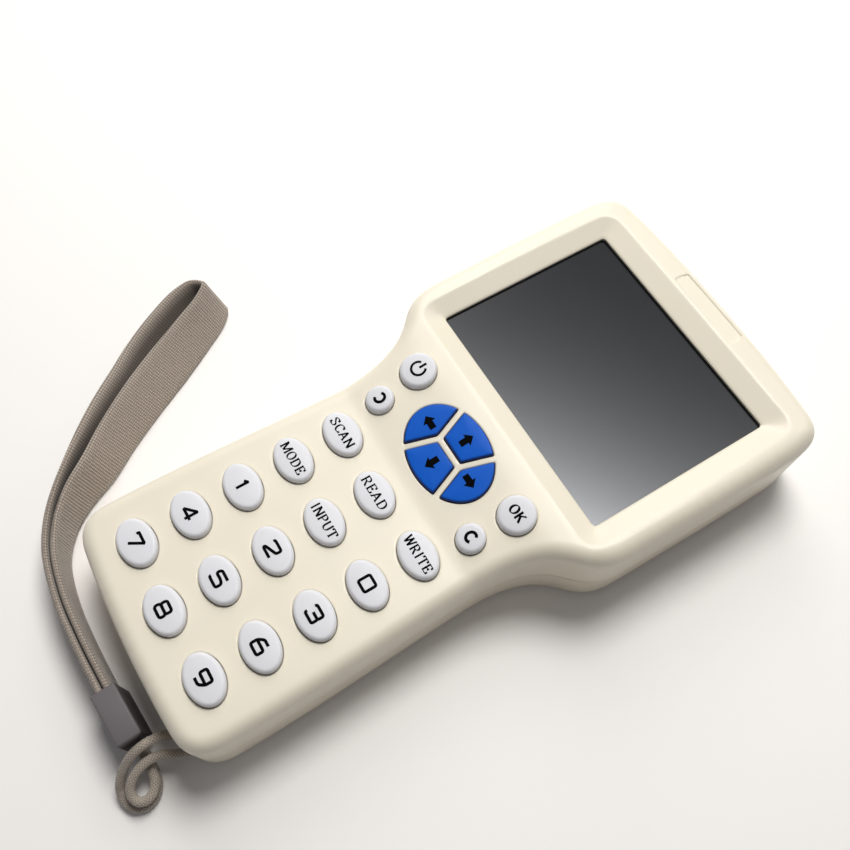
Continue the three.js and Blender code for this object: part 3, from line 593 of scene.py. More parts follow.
# Case form: heights over the plan, worked out from the driving sizes.
def softMin(a, b, soft):
    share = np.clip(0.5 + 0.5 * (b - a) / soft, 0, 1)
    return b * (1 - share) + a * share - soft * share * (1 - share)


def softMax(a, b, soft):
    return -softMin(-a, -b, soft)


def bezier(controls, count):
    a, b, c, d = (np.array(point, float) for point in controls)
    t = np.linspace(0, 1, count, endpoint=False)[:, None]
    return a * (1 - t) ** 3 + 3 * b * t * (1 - t) ** 2 + 3 * c * t**2 * (1 - t) + d * t**3


# One side of the plan outline as smooth bends, from the strap end to the display end.
outlineBends = [
    ((0, 0), (8, 0), (16, 0.3), (23.5, 1)),
    ((23.5, 1), (28.8, 1.6), (31, 4.6), (31.2, 10)),
    ((31.2, 10), (31.5, 34), (30, 52), (29.7, 72)),
    ((29.7, 72), (29.7, 83), (32.3, 89), (35.8, 92.6)),
    ((35.8, 92.6), (39.5, 96.3), (42.2, 98), (42.7, 105.5)),
    ((42.7, 105.5), (43, 120), (43.4, 138), (43.2, 153)),
    ((43.2, 153), (43.1, 161), (41.5, 164.6), (36, 165.4)),
    ((36, 165.4), (24, 166.8), (12, caseSize["length"]), (0, caseSize["length"])),
]


def evenLoop(points, step):
    closed = np.vstack([points, points[:1]])
    run = np.concatenate([[0], np.cumsum(np.linalg.norm(np.diff(closed, axis=0), axis=1))])
    count = int(round(run[-1] / step))
    wanted = np.linspace(0, run[-1], count, endpoint=False)
    return np.stack([np.interp(wanted, run, closed[:, k]) for k in (0, 1)], axis=1)


rightSide = np.vstack([bezier(bend, 60) for bend in outlineBends])
leftSide = rightSide[1:][::-1] * (-1, 1)
outline = evenLoop(np.vstack([rightSide, [(0, caseSize["length"])], leftSide]), 1.05)
outlineTangent = np.roll(outline, -1, axis=0) - np.roll(outline, 1, axis=0)
outlineTangent /= np.linalg.norm(outlineTangent, axis=1)[:, None]
outlineInward = np.stack([-outlineTangent[:, 1], outlineTangent[:, 0]], axis=1)


def ringAt(inset):
    return outline + inset * outlineInward


# How far up the display recess's wall a place is: 0 at the window, 1 at the ridge.
def recessShare(x, d):
    c = caseSize
    middle = (c["windowLow"] + c["windowHigh"]) / 2
    halfHeight = (c["windowHigh"] - c["windowLow"]) / 2
    bow = c["bulge"] * (1 - np.clip(np.abs(d - middle) / halfHeight, 0, 1) ** 2)
    side = (np.abs(x) - c["windowHalf"]) / (c["ridgeHalf"] + bow - c["windowHalf"])
    bowX = c["bulge"] * (1 - np.clip(np.abs(x) / c["windowHalf"], 0, 1) ** 2)
    low = (c["windowLow"] - d) / (c["windowLow"] - c["ridgeLow"])
    high = (d - c["windowHigh"]) / (c["ridgeHigh"] + bowX * 0.6 - c["windowHigh"])
    along = np.maximum(low, high)
    power = c["cornerPower"]
    joined = np.maximum(side, 0) ** power + np.maximum(along, 0) ** power
    return np.where(np.maximum(side, along) <= 0, np.maximum(side, along), joined ** (1 / power))


# Height of the upper face without the recess: keypad, ramp, level rim, and the rim's outer fall.
def faceHeight(x, d):
    c = caseSize
    rise = (c["rimLow"] - c["gripTop"]) / (c["rimStart"] - c["rampStart"])
    ramp = c["gripTop"] + rise * (d - c["rampStart"])
    climb = (c["ridgeTop"] - c["rimLow"]) / (c["ridgeLow"] - c["rimStart"])
    rim = c["rimLow"] + climb * (d - c["rimStart"])
    fall = (c["endTop"] - c["ridgeTop"]) / (c["length"] - c["ridgeHigh"])
    end = c["ridgeTop"] + fall * (d - c["ridgeHigh"])
    side = c["ridgeTop"] - c["sideFall"] * (np.abs(x) - c["ridgeHalf"] - c["bulge"])
    level = np.full_like(ramp, c["ridgeTop"])
    top = softMin(softMin(softMin(rim, level, 0.15), end, 0.15), side, 0.15)
    return softMax(np.full_like(ramp, c["gripTop"]), softMin(ramp, top, 0.3), 0.22)


def surfaceHeight(x, d):
    c = caseSize
    share = recessShare(x, d)
    wallHeight = c["lip"] + (c["ridgeTop"] - c["lip"]) * share
    return softMin(faceHeight(x, d), wallHeight, 0.3)


def insideLoop(x, y, loop):
    inside = np.zeros(len(x), bool)
    for (x0, y0), (x1, y1) in zip(loop, np.roll(loop, -1, axis=0)):
        if y0 == y1:
            continue
        crosses = (y0 > y) != (y1 > y)
        inside ^= crosses & (x < (x1 - x0) * (y - y0) / (y1 - y0) + x0)
    return inside


# The loop on which a field of (x, d) first takes a value, found along rays from a middle point.
def levelLoop(field, value, middle, count, reach):
    angles = np.linspace(0, 2 * math.pi, count, endpoint=False)
    ray = np.stack([np.cos(angles), np.sin(angles)], axis=1)
    sign = 1 if field(np.array([middle[0]]), np.array([middle[1]]))[0] < value else -1

    def beyond(distance):
        place = np.array(middle) + ray * distance[:, None]
        return sign * (field(place[:, 0], place[:, 1]) - value) > 0

    low = np.zeros(count)
    high = np.full(count, float(reach))
    stride = reach / 160
    passed = np.zeros(count, bool)
    for distance in np.arange(stride, reach, stride):
        here = beyond(np.full(count, distance))
        high = np.where(here & ~passed, distance, high)
        passed |= here
        low = np.where(passed, low, distance)
    for step in range(26):
        test = (low + high) / 2
        out = beyond(test)
        high = np.where(out, test, high)
        low = np.where(out, low, test)
    return np.array(middle) + ray * low[:, None]


# Where the keys are, from their packed boxes.
def keyFacts(name):
    low, high = (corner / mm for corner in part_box(name))
    flange = 0.65
    return {
        "name": name,
        "x": (low.x + high.x) / 2,
        "d": (low.y + high.y) / 2 + half,
        "halfX": (high.x - low.x) / 2 - flange,
        "halfY": (high.y - low.y) / 2 - flange,
        "foot": low.z,
        "flange": flange,
    }


digitNames = ["key_7", "key_4", "key_1", "key_8", "key_5", "key_2", "key_9", "key_6", "key_3", "key_0"]
wordNames = ["key_mode", "key_scan", "key_input", "key_read", "key_write"]
roundNames = ["key_power", "key_ok", "key_clear_left", "key_clear_right"]
capKeys = [keyFacts(name) for name in digitNames + wordNames + roundNames]
keyForm = {
    "gap": 0.15,
    "proud": 1.8,
    "crown": 0.35,
    "fullCrown": 4.8,  # half width from which a cap has its whole crown
    "edge": 0.85,
    "edgeSteps": 10,
    "crownRings": (0.33, 0.5, 0.7, 0.88),
    "flangeTop": 19.3,
}


def ellipseLoop(key, grow, count=72):
    angles = np.linspace(0, 2 * math.pi, count, endpoint=False)
    x = key["x"] + (key["halfX"] + grow) * np.cos(angles)
    return np.stack([x, key["d"] + (key["halfY"] + grow) * np.sin(angles)], axis=1)


# Arrow pad: four caps between ribs that fork at both ends.
pad = {
    "middle": 83.7,
    "halfX": 13.1,
    "halfY": 9.4,
    "proud": 0.8,
    "ribHalf": 0.92,
    "fork": 4.3,
    "run": (2.9, 7.9),
    "overrun": 1.6,  # the ribs run on past the oval
    "corner": 0.3,
    "gap": 0.2,
    "foot": 18.5,
    # inset from the cap's edge, and depth below the level of its crown
    "pillow": [
        (0, 0.62), (0.02, 0.42), (0.07, 0.27), (0.15, 0.17), (0.28, 0.1), (0.45, 0.06), (0.7, 0.03),
        (1.1, 0.0), (1.6, -0.04), (2.2, -0.07), (2.9, -0.09),
    ],
    "centres": {
        "key_left": (-8.8, 0.0),
        "key_right": (8.8, 0.0),
        "key_up": (0.0, 4.8),
        "key_down": (0.0, -4.8),
    },
}


def segmentDistance(x, y, start, end):
    (x0, y0), (x1, y1) = start, end
    lengthSquared = (x1 - x0) ** 2 + (y1 - y0) ** 2
    t = np.clip(((x - x0) * (x1 - x0) + (y - y0) * (y1 - y0)) / lengthSquared, 0, 1)
    return np.hypot(x - x0 - t * (x1 - x0), y - y0 - t * (y1 - y0))


# Distance inside an arrow key's edge, from the oval's rim and the ribs between the keys.
def padField(x, d):
    y = d - pad["middle"]
    q = np.hypot(x / pad["halfX"], y / pad["halfY"])
    slope = np.hypot(x / pad["halfX"] ** 2, y / pad["halfY"] ** 2) / np.maximum(q, 1e-6)
    field = (1 - q) / np.maximum(slope, 1e-6)
    fork = pad["fork"]
    runX, runY = (pad["overrun"] * run for run in pad["run"])
    ribs = [((-fork, 0), (fork, 0))]
    for sx in (-1, 1):
        ribs += [((sx * fork, 0), (sx * (fork + runX), sy * runY)) for sy in (-1, 1)]
    for start, end in ribs:
        field = softMin(field, segmentDistance(x, y, start, end) - pad["ribHalf"], pad["corner"])
    return field


def padLoop(name, inset, count=140):
    cx, cy = pad["centres"][name]
    return levelLoop(padField, inset, (cx, pad["middle"] + cy), count, 16)


# Front cover: edge profiles are lists of (distance out from the opening, depth below the face).
cover = {
    "edgeSteps": 9,
    "insideEdge": 0.5,  # first loop inside the rounded edge
    "keyEdge": [(0.0, 0.28), (0.08, 0.14), (0.2, 0.042), (0.4, 0.0), (0.85, 0.0)],
    "padEdge": [(0.0, 0.22), (0.1, 0.07), (0.24, 0.0)],
    "padSurround": (0.55, 1.1),
    "windowCorner": 0.7,
    "windowDrop": 0.18,
    "recessShares": (0.05, 0.1, 0.4, 0.75, 0.84, 0.9, 0.95, 1.0),
    "outsideShares": (1.06, 1.13, 1.22),  # rows of points just past the ridge
    # rows of points along the two creases of the ramp
    "creaseRows": (
        69.9, 70.5, 71.0, 71.5, 72.0, 72.5, 73.1, 89.4, 90.2, 90.9, 91.5, 92.1, 92.8, 93.6,
    ),
    "creaseStep": 0.9,
    "fill": 1.7,
    "clearOfLoops": 0.62,
    "clearOfPoints": 0.55,
    "skin": (0.8, 2.0),  # on the keypad, and at most on the ridge
    "skinGrowth": 1.54,
    "thumb": {"halfX": 11.5, "low": 159.4, "high": 164.4, "depth": 0.3, "corner": 0.9},
    "thumbWall": [(0.0, 0.0), (0.15, 0.35), (0.4, 1.0), (0.65, 1.0)],  # inset, share of the depth
}
farInside = 99.0  # stands for any place well inside the edge


def roundedBox(halfX, low, high, radius, steps=6, spacing=0.9):
    corners = [(halfX, high, 0), (-halfX, high, 90), (-halfX, low, 180), (halfX, low, 270)]
    loop = []
    for x, d, start in corners:
        middleX = x - math.copysign(radius, x)
        middleD = d - radius if d == high else d + radius
        for step in range(steps + 1):
            angle = math.radians(start + 90 * step / steps)
            loop.append((middleX + radius * math.cos(angle), middleD + radius * math.sin(angle)))
    return np.array(loop) if spacing is None else evenLoop(np.array(loop), spacing)


def recessLoop(share):
    middle = (0, (caseSize["windowLow"] + caseSize["windowHigh"]) / 2)
    return levelLoop(recessShare, share, middle, 420, 70)


# Every loop that the cover's mesh keeps to, from its outer edge inwards.
def coverLoops():
    c = caseSize
    r = c["upperRadius"]
    loops = []

    def addLoop(points, drop=0.0, inset=farInside, hole=False):
        loops.append({"points": points, "drop": drop, "inset": inset, "hole": hole})

    for k in range(cover["edgeSteps"] + 1):
        inset, drop = roundedEdge(r, k, cover["edgeSteps"])
        addLoop(ringAt(inset), drop, inset)
    addLoop(ringAt(r + cover["insideEdge"]))
    for key in capKeys:
        for k, (out, drop) in enumerate(cover["keyEdge"]):
            addLoop(ellipseLoop(key, keyForm["gap"] + out), drop, hole=k == 0)
    for name in pad["centres"]:
        for k, (out, drop) in enumerate(cover["padEdge"]):
            addLoop(padLoop(name, -pad["gap"] - out), drop, hole=k == 0)
    padOval = {"x": 0, "d": pad["middle"], "halfX": pad["halfX"], "halfY": pad["halfY"]}
    for out in cover["padSurround"]:
        addLoop(ellipseLoop(padOval, pad["gap"] + out, 140))
    window = roundedBox(c["windowHalf"], c["windowLow"], c["windowHigh"], cover["windowCorner"])
    addLoop(window, cover["windowDrop"], hole=True)
    for share in cover["recessShares"]:
        addLoop(recessLoop(share))
    thumb = cover["thumb"]
    for out, share in cover["thumbWall"]:
        low, high = thumb["low"] + out, thumb["high"] - out
        box = roundedBox(thumb["halfX"] - out, low, high, thumb["corner"] - out / 2)
        addLoop(box, share * thumb["depth"])
    return loops


def treeOf(points):
    tree = kdtree.KDTree(len(points))
    for i, (x, d) in enumerate(points):
        tree.insert((x, d, 0), i)
    tree.balance()
    return tree


# Points between the loops: round the recess, along the creases, and an even fill.
def coverFill(loops):
    free = []
    for share in cover["outsideShares"]:
        free += [tuple(point) for point in recessLoop(share)]
    for d in cover["creaseRows"]:
        free += [(x, d) for x in np.arange(-40, 40.1, cover["creaseStep"])]
    spacing = cover["fill"]
    for row, d in enumerate(np.arange(2, caseSize["length"], spacing)):
        free += [(x + (row % 2) * spacing / 2, d) for x in np.arange(-43, 43, spacing)]
    free = np.array(free)
    onLoops = treeOf(np.vstack([loop["points"] for loop in loops]))
    near = np.array([onLoops.find((x, d, 0))[2] for x, d in free])
    edge = ringAt(caseSize["upperRadius"] + cover["insideEdge"])
    free = free[insideLoop(free[:, 0], free[:, 1], edge) & (near > cover["clearOfLoops"])]
    others = treeOf(free)
    dropped = set()
    for i, (x, d) in enumerate(free):
        if i not in dropped:
            close = others.find_range((x, d, 0), cover["clearOfPoints"])
            dropped.update(j for _, j, gap in close if j > i)
    return np.array([point for i, point in enumerate(free) if i not in dropped])


# Fills the plan with triangles that keep to the loops and leave the holes open. Each loop then
# lists its own points in the mesh.
def coverPlan(loops, free):
    coordinates = np.vstack([loop["points"] for loop in loops] + [free])
    edges = []
    start = 0
    drops = np.zeros(len(coordinates))
    insets = np.full(len(coordinates), farInside)
    for loop in loops:
        count = len(loop["points"])
        loop["ids"] = np.arange(start, start + count)
        edges += [(start + i, start + (i + 1) % count) for i in range(count)]
        drops[start : start + count] = loop["drop"]
        insets[start : start + count] = loop["inset"]
        start += count
    places = [Vector(point) for point in coordinates]
    made, _, triangles, came, _, _ = geometry.delaunay_2d_cdt(places, edges, [], 0, 1e-5, True)
    flat = np.array([tuple(point) for point in made])
    toNew = {}
    drop = np.zeros(len(flat))
    inset = np.full(len(flat), farInside)
    for new, olds in enumerate(came):
        for old in olds:
            toNew[old] = new
            drop[new] = max(drop[new], drops[old])
            inset[new] = min(inset[new], insets[old])
    triangles = np.array(triangles)
    centre = flat[triangles].mean(axis=1)
    keep = insideLoop(centre[:, 0], centre[:, 1], loops[0]["points"])
    for loop in loops:
        loop["ids"] = [toNew[i] for i in loop["ids"]]
        if loop["hole"]:
            keep &= ~insideLoop(centre[:, 0], centre[:, 1], loop["points"])
    triangles = triangles[keep]
    a, b, c = (flat[triangles[:, k]] for k in range(3))
    turned = np.cross(b - a, c - a) < 0
    triangles[turned] = triangles[turned][:, ::-1]
    return flat, drop, inset, triangles


# The shell: an upper and a lower skin over the plan, the holes' walls, and the wall round it all.
def makeFrontCover():
    c = caseSize
    r = c["upperRadius"]
    loops = coverLoops()
    flat, drop, inset, triangles = coverPlan(loops, coverFill(loops))
    x, d = flat[:, 0], flat[:, 1]
    height = surfaceHeight(x, d)
    thumb = cover["thumb"]
    floorMargin = 0.5  # the thumb line's floor lies inside its sloping wall
    inThumb = (
        (np.abs(x) < thumb["halfX"] - floorMargin)
        & (d > thumb["low"] + floorMargin)
        & (d < thumb["high"] - floorMargin)
    )
    drop = np.where(inThumb, thumb["depth"], drop)
    thin, thick = cover["skin"]
    growth = cover["skinGrowth"] * np.maximum(recessShare(x, d), 0)
    skin = np.clip(thin + growth, thin, thick)
    count = len(flat)
    points = [atHeight(flat, height - drop), atHeight(flat, height - skin)]
    faces = [tuple(tri) for tri in triangles]
    steps = cover["edgeSteps"]
    wallInset, _ = roundedEdge(r, steps - 1, steps)
    innerTriangles = triangles[(inset[triangles] >= wallInset - 1e-6).all(axis=1)]
    faces += [tuple(tri[::-1] + count) for tri in innerTriangles]
    for loop in loops:
        if loop["hole"]:
            ids = loop["ids"]
            faces += [(b, a, a + count, b + count) for a, b in zip(ids, ids[1:] + ids[:1])]

    # outer wall, rim at the parting line, and inner wall
    rim = c["parting"] + c["partingGap"] / 2
    topHeight = height[loops[0]["ids"]] - r
    rows = [(0, rim + 0.3 + share * (topHeight - rim - 0.3)) for share in (0.6, 0.2)]
    rows += [(0, rim + 0.3), (0.07, rim + 0.08), (0.25, rim)]
    rows += [(wallInset - 0.1, rim), (wallInset, rim + 0.1), (wallInset, rim + 4)]
    previous = loops[0]["ids"]
    total = 2 * count
    for out, z in rows:
        points.append(atHeight(ringAt(out), z))
        ids = list(range(total, total + len(outline)))
        total += len(outline)
        faces += bandFaces(previous, ids)
        previous = ids
    faces += bandFaces(previous, [i + count for i in loops[steps - 1]["ids"]])
    points = np.vstack(points)
    used = sorted({int(i) for face in faces for i in face})
    renumber = {old: new for new, old in enumerate(used)}
    faces = [tuple(renumber[int(i)] for i in face) for face in faces]
    return points[used], faces


points, faces = makeFrontCover()
frontCover = addPiece(
    "front_cover_shell", points, faces, caseAbs, "case", ["front_cover"], 40
)
frontCover.modifiers.new("faceWeighted", "WEIGHTED_NORMAL").keep_sharp = True
print("front cover made,", len(points), "points")


# Rear cover and battery door: solids turned from the same outline, then cut.
rear = {
    "edgeSteps": 8,
    "screws": [(26.2, 7.2), (26.0, 70.0), (37.5, 158.0)],  # x on either side, and distance along
    "screwHole": (2.6, 4.2),  # radius, depth
    "eyelets": (20.2, 25.2),
    "eyeletHole": (1.45, 5.5),  # radius, height of its axis
    "doorHalf": 20.9,
    "doorGap": 0.22,
    "doorWell": 2.3,
    "doorThick": 1.75,
    "grip": {"count": 5, "first": 6, "pitch": 2.2, "half": (9, 0.45), "depth": 0.45},
}
rim = caseSize["parting"] - caseSize["partingGap"] / 2
# the rear wall's section: up the outside, over the lip that enters the cover, down the inside
rearWall = [
    (0, rim - 0.3), (0.07, rim - 0.08), (0.25, rim), (1.3, rim), (1.35, rim + 1.9), (1.5, rim + 2.05),
    (2.0, rim + 2.05), (2.15, rim + 1.9), (2.2, rim), (2.2, 2.6), (2.6, 2.0),
]


def boxSolid(low, high):
    (x0, y0, z0), (x1, y1, z1) = low, high
    points = [(x, y, z) for z in (z0, z1) for y in (y0, y1) for x in (x0, x1)]
    faces = [(0, 2, 3, 1), (4, 5, 7, 6), (0, 1, 5, 4), (2, 6, 7, 3), (0, 4, 6, 2), (1, 3, 7, 5)]
    return meshObject("block", points, faces)


# A round bar from one point to another, to drill with.
def barSolid(start, end, radius, sides=48):
    start, end = np.array(start, float), np.array(end, float)
    axis = (end - start) / np.linalg.norm(end - start)
    side = np.cross(axis, (1, 0, 0) if abs(axis[0]) < 0.9 else (0, 1, 0))
    side /= np.linalg.norm(side)
    second = np.cross(axis, side)
    angles = np.linspace(0, 2 * math.pi, sides, endpoint=False)[:, None]
    ring = radius * (np.cos(angles) * side + np.sin(angles) * second)
    points, faces = loftRings([start + ring, end + ring])
    return meshObject("bar", points, faces)


def carve(solid, tools, operation="DIFFERENCE"):
    for tool in tools:
        change = solid.modifiers.new("carve", "BOOLEAN")
        change.operation = operation
        change.solver = "MANIFOLD"
        change.object = tool
    depsgraph = bpy.context.evaluated_depsgraph_get()
    made = bpy.data.meshes.new_from_object(solid.evaluated_get(depsgraph))
    solid.modifiers.clear()
    solid.data = made
    for tool in tools:
        bpy.data.objects.remove(tool)


def finishSolid(solid, name, body, stands):
    solid.name = name
    solid.data.name = name
    solid.data.materials.clear()
    solid.data.materials.append(rearAbs)
    solid.data.shade_smooth()
    solid.data.set_sharp_from_angle(angle=math.radians(35))
    solid.modifiers.new("faceWeighted", "WEIGHTED_NORMAL").keep_sharp = True
    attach(solid, body)
    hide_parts(stands)


# Stacks the outline with the lower rounded edge, and then with the section given.
def rearBlank(name, section):
    r = caseSize["lowerRadius"]
    rings = []
    for k in range(rear["edgeSteps"], -1, -1):
        inset, rise = roundedEdge(r, k, rear["edgeSteps"])
        rings.append(atHeight(ringAt(inset), rise))
    rings += [atHeight(ringAt(inset), z) for inset, z in section]
    points, faces = loftRings(rings)
    return meshObject(name, points, faces)


def makeRearCover(s, doorEdge):
    shell = rearBlank("rear", rearWall)
    wide = s["doorHalf"] + s["doorGap"]
    tools = [boxSolid((-wide, -half - 6, -5), (wide, doorEdge + s["doorGap"], s["doorWell"]))]
    radius, depth = s["screwHole"]
    for x, d in s["screws"]:
        for side in (-1, 1):
            tools.append(barSolid((side * x, d - half, -1), (side * x, d - half, depth), radius))
    radius, z = s["eyeletHole"]
    tools += [barSolid((x, -half - 2, z), (x, -half + 8, z), radius) for x in s["eyelets"]]
    carve(shell, tools)
    finishSolid(shell, "rear_cover_shell", "case", "rear_cover")


def makeDoor(s, doorEdge):
    panel = rearBlank("door", [(0, 6)])
    wide = s["doorHalf"]
    carve(panel, [boxSolid((-wide, -half - 6, -5), (wide, doorEdge, s["doorThick"]))], "INTERSECT")
    grip = s["grip"]
    x, y = grip["half"]
    rows = [doorEdge - grip["first"] - grip["pitch"] * i for i in range(grip["count"])]
    carve(panel, [boxSolid((-x, row - y, -1), (x, row + y, grip["depth"])) for row in rows])
    finishSolid(panel, "battery_door_panel", "battery_door", "battery_door")


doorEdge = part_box("battery_door")[1].y / mm
makeRearCover(rear, doorEdge)
makeDoor(rear, doorEdge)
print("rear cover and battery door made")


# Key caps. A cap's top follows the face's slope at its middle.
def faceLevel(x, d):
    return faceHeight(np.array([x]), np.array([d]))[0]


def keyPlane(x, d, key):
    slope = (faceLevel(key["x"], key["d"] + 1) - faceLevel(key["x"], key["d"] - 1)) / 2
    return faceLevel(key["x"], key["d"]) + slope * (d - key["d"])


def capHeight(x, d, key):
    rho = ((x - key["x"]) / key["halfX"]) ** 2 + ((d - key["d"]) / key["halfY"]) ** 2
    crown = keyForm["crown"] * min(1.0, key["halfY"] / keyForm["fullCrown"])
    return keyPlane(x, d, key) + keyForm["proud"] - crown * rho


def makeCap(key):
    flange, top = key["flange"], keyForm["flangeTop"]
    bevel = 0.1
    # the flange under the cover, then the neck
    profile = [
        (flange - bevel, key["foot"]), (flange, key["foot"] + bevel), (flange, top - bevel),
        (flange - bevel, top), (0.05, top), (0, top + 0.2),
    ]
    rings = [atHeight(ellipseLoop(key, grow), z) for grow, z in profile]
    small = min(key["halfX"], key["halfY"])
    steps = keyForm["edgeSteps"]
    crown = [roundedEdge(keyForm["edge"], k, steps) for k in range(steps + 1)]
    crown += [(share * small, 0) for share in keyForm["crownRings"]]
    for inset, drop in crown:
        loop = ellipseLoop(key, -inset)
        rings.append(atHeight(loop, capHeight(loop[:, 0], loop[:, 1], key) - drop))
    return loftRings(rings)


for key in capKeys:
    points, faces = makeCap(key)
    name = key["name"]
    addPiece(name + "_cap", points, faces, whiteKeys, name, [name], 60)


# An arrow key is a pillow: a quick roll-over at its edge, then a long gentle crown.
def makeArrowCap(name):
    # painted shade: the blue darkens towards the cap's edge, where it rolls over
    middle = []  # one on the crown, nought on the edge
    base = padLoop(name, 0)
    rings = [atHeight(base, z) for z in (pad["foot"], keyForm["flangeTop"])]
    middle += [0.0] * 2 * len(base)
    for inset, drop in pad["pillow"]:
        loop = padLoop(name, inset)
        rings.append(atHeight(loop, faceHeight(loop[:, 0], loop[:, 1]) + pad["proud"] - drop))
        middle += [float(np.clip(inset / 0.3 - 0.15, 0, 1))] * len(loop)
    points, faces = loftRings(rings)
    middle += [0.0, 1.0]  # the two closing points
    return points, faces, middle


for name in pad["centres"]:
    points, faces, middle = makeArrowCap(name)
    mask = ("middle", middle)
    addPiece(name + "_cap", points, faces, blueKeys, name, [name], 60, mask=mask)
print("key caps made")


# Printed key labels.
def arc(x, y, radiusX, radiusY, start, end, steps=14):
    angles = np.radians(np.linspace(start, end, steps + 1))
    return [(x + radiusX * math.cos(a), y + radiusY * math.sin(a)) for a in angles]


# Rounds the corners of a polyline by cutting each with a short bend.
def softened(points, radius=0.13):
    points = np.array(points, float)
    made = [points[0]]
    for before, corner, after in zip(points, points[1:], points[2:]):
        toBefore = before - corner
        toAfter = after - corner
        cutBefore = min(radius, np.linalg.norm(toBefore) / 2) / np.linalg.norm(toBefore)
        cutAfter = min(radius, np.linalg.norm(toAfter) / 2) / np.linalg.norm(toAfter)
        a = corner + toBefore * cutBefore
        b = corner + toAfter * cutAfter
        made += [a * (1 - t) ** 2 + 2 * corner * t * (1 - t) + b * t**2 for t in np.linspace(0, 1, 6)]
    made.append(points[-1])
    return made


# Squarish digits with an even stroke; each is a list of strokes in a box one wide and one high.
left, right, low, mid, high = 0.09, 0.91, 0.09, 0.5, 0.91
digitStrokes = {
    "0": [softened([(mid, high), (left, high), (left, low), (right, low), (right, high), (mid, high)])],
    "1": [[(0.28, 0.72), (0.52, 0.92), (0.52, 0.08)]],
    "2": [softened([
        (left, 0.78), (left, high), (right, high), (right, 0.56), (left, 0.22), (left, low), (right, low),
    ])],
    "3": [
        softened([(left, 0.76), (left, high), (right, high), (right, mid), (0.36, mid)]),
        softened([(0.36, mid), (right, mid), (right, low), (left, low), (left, 0.24)]),
    ],
    "4": [[(0.72, 0.06), (0.72, 0.94), (0.06, 0.3), (0.96, 0.3)]],
    "5": [softened([
        (right, high), (0.14, high), (0.1, 0.56), (0.6, 0.58), (right, mid), (right, low),
        (left, low), (left, 0.2),
    ], 0.16)],
    "6": [softened([
        (0.8, high), (0.34, high), (left, 0.55), (left, low), (right, low), (right, 0.54), (left, 0.54),
    ])],
    "7": [[(left, 0.74), (left, high), (right, high), (0.4, 0.06)]],
    "8": [
        softened([(mid, high), (0.13, high), (0.13, mid), (0.87, mid), (0.87, high), (mid, high)], 0.16),
        softened([(mid, mid), (left, mid), (left, low), (right, low), (right, mid), (mid, mid)], 0.18),
    ],
    "9": [softened([
        (0.2, low), (0.66, low), (right, 0.45), (right, high), (left, high), (left, 0.46), (right, 0.46),
    ])],
}


def stem(x):
    return [(x, 0.0), (x, 1.0)]


def foot(x, y, reach=0.13):
    return [(x - reach, y), (x + reach, y)]


# Roman capitals, drawn with a pen that is broad across and thin up and down.
base, top = 0.035, 0.965  # middle lines of the serifs
letterStrokes = {
    "A": [[(0.1, 0), (0.45, 1)], [(0.45, 1), (0.84, 0)], [(0.24, 0.32), (0.68, 0.32)],
          foot(0.1, base), foot(0.84, base)],
    "C": [arc(0.5, 0.5, 0.4, 0.48, 48, 312), [(0.84, 0.98), (0.84, 0.7)], [(0.84, 0.02), (0.84, 0.24)]],
    "D": [stem(0.2), [(0.06, top), (0.45, top)] + arc(0.45, 0.5, 0.42, 0.465, 90, -90) + [(0.06, base)]],
    "E": [stem(0.22), [(0.08, top), (0.82, top)], [(0.08, base), (0.86, base)], [(0.22, 0.5), (0.6, 0.5)],
          [(0.8, 0.98), (0.8, 0.74)], [(0.84, 0.02), (0.84, 0.28)], [(0.6, 0.38), (0.6, 0.62)]],
    "I": [stem(0.5), foot(0.5, base, 0.2), foot(0.5, top, 0.2)],
    "K": [stem(0.2), foot(0.2, base), foot(0.2, top), [(0.82, 0.98), (0.22, 0.42)],
          [(0.4, 0.58), (0.82, 0.02)], foot(0.8, base), foot(0.78, top)],
    "M": [stem(0.12), stem(0.88), [(0.14, 1), (0.5, 0.08)], [(0.5, 0.08), (0.86, 1)],
          foot(0.12, base), foot(0.88, base), foot(0.1, top, 0.1), foot(0.9, top, 0.1)],
    "N": [stem(0.16), stem(0.84), [(0.16, 1), (0.84, 0)],
          foot(0.16, base), foot(0.1, top, 0.1), foot(0.84, top)],
    "O": [arc(0.5, 0.5, 0.4, 0.48, 90, 450, 26)],
    "P": [stem(0.2), foot(0.2, base, 0.16),
          [(0.06, top), (0.5, top)] + arc(0.5, 0.72, 0.34, 0.245, 90, -90) + [(0.2, 0.475)]],
    "R": [stem(0.18), foot(0.18, base),
          [(0.05, top), (0.46, top)] + arc(0.46, 0.73, 0.32, 0.235, 90, -90) + [(0.18, 0.495)],
          [(0.46, 0.5), (0.86, 0.0)], foot(0.86, base, 0.1)],
    "S": [arc(0.48, 0.74, 0.31, 0.23, 30, 180) + arc(0.5, 0.26, 0.34, 0.23, 90, -150)[1:],
          [(0.78, 0.98), (0.78, 0.72)], [(0.16, 0.02), (0.16, 0.3)]],
    "T": [stem(0.5), foot(0.5, base, 0.16), [(0.06, top), (0.94, top)],
          [(0.08, 0.98), (0.08, 0.74)], [(0.92, 0.98), (0.92, 0.74)]],
    "U": [[(0.2, 1), (0.2, 0.35)] + arc(0.52, 0.35, 0.32, 0.33, 180, 360) + [(0.84, 1)],
          foot(0.2, top), foot(0.84, top)],
    "W": [[(0.06, 1), (0.28, 0)], [(0.28, 0), (0.5, 0.92)], [(0.5, 0.92), (0.72, 0)],
          [(0.72, 0), (0.94, 1)], foot(0.08, top, 0.11), foot(0.5, top, 0.1), foot(0.93, top, 0.1)],
}
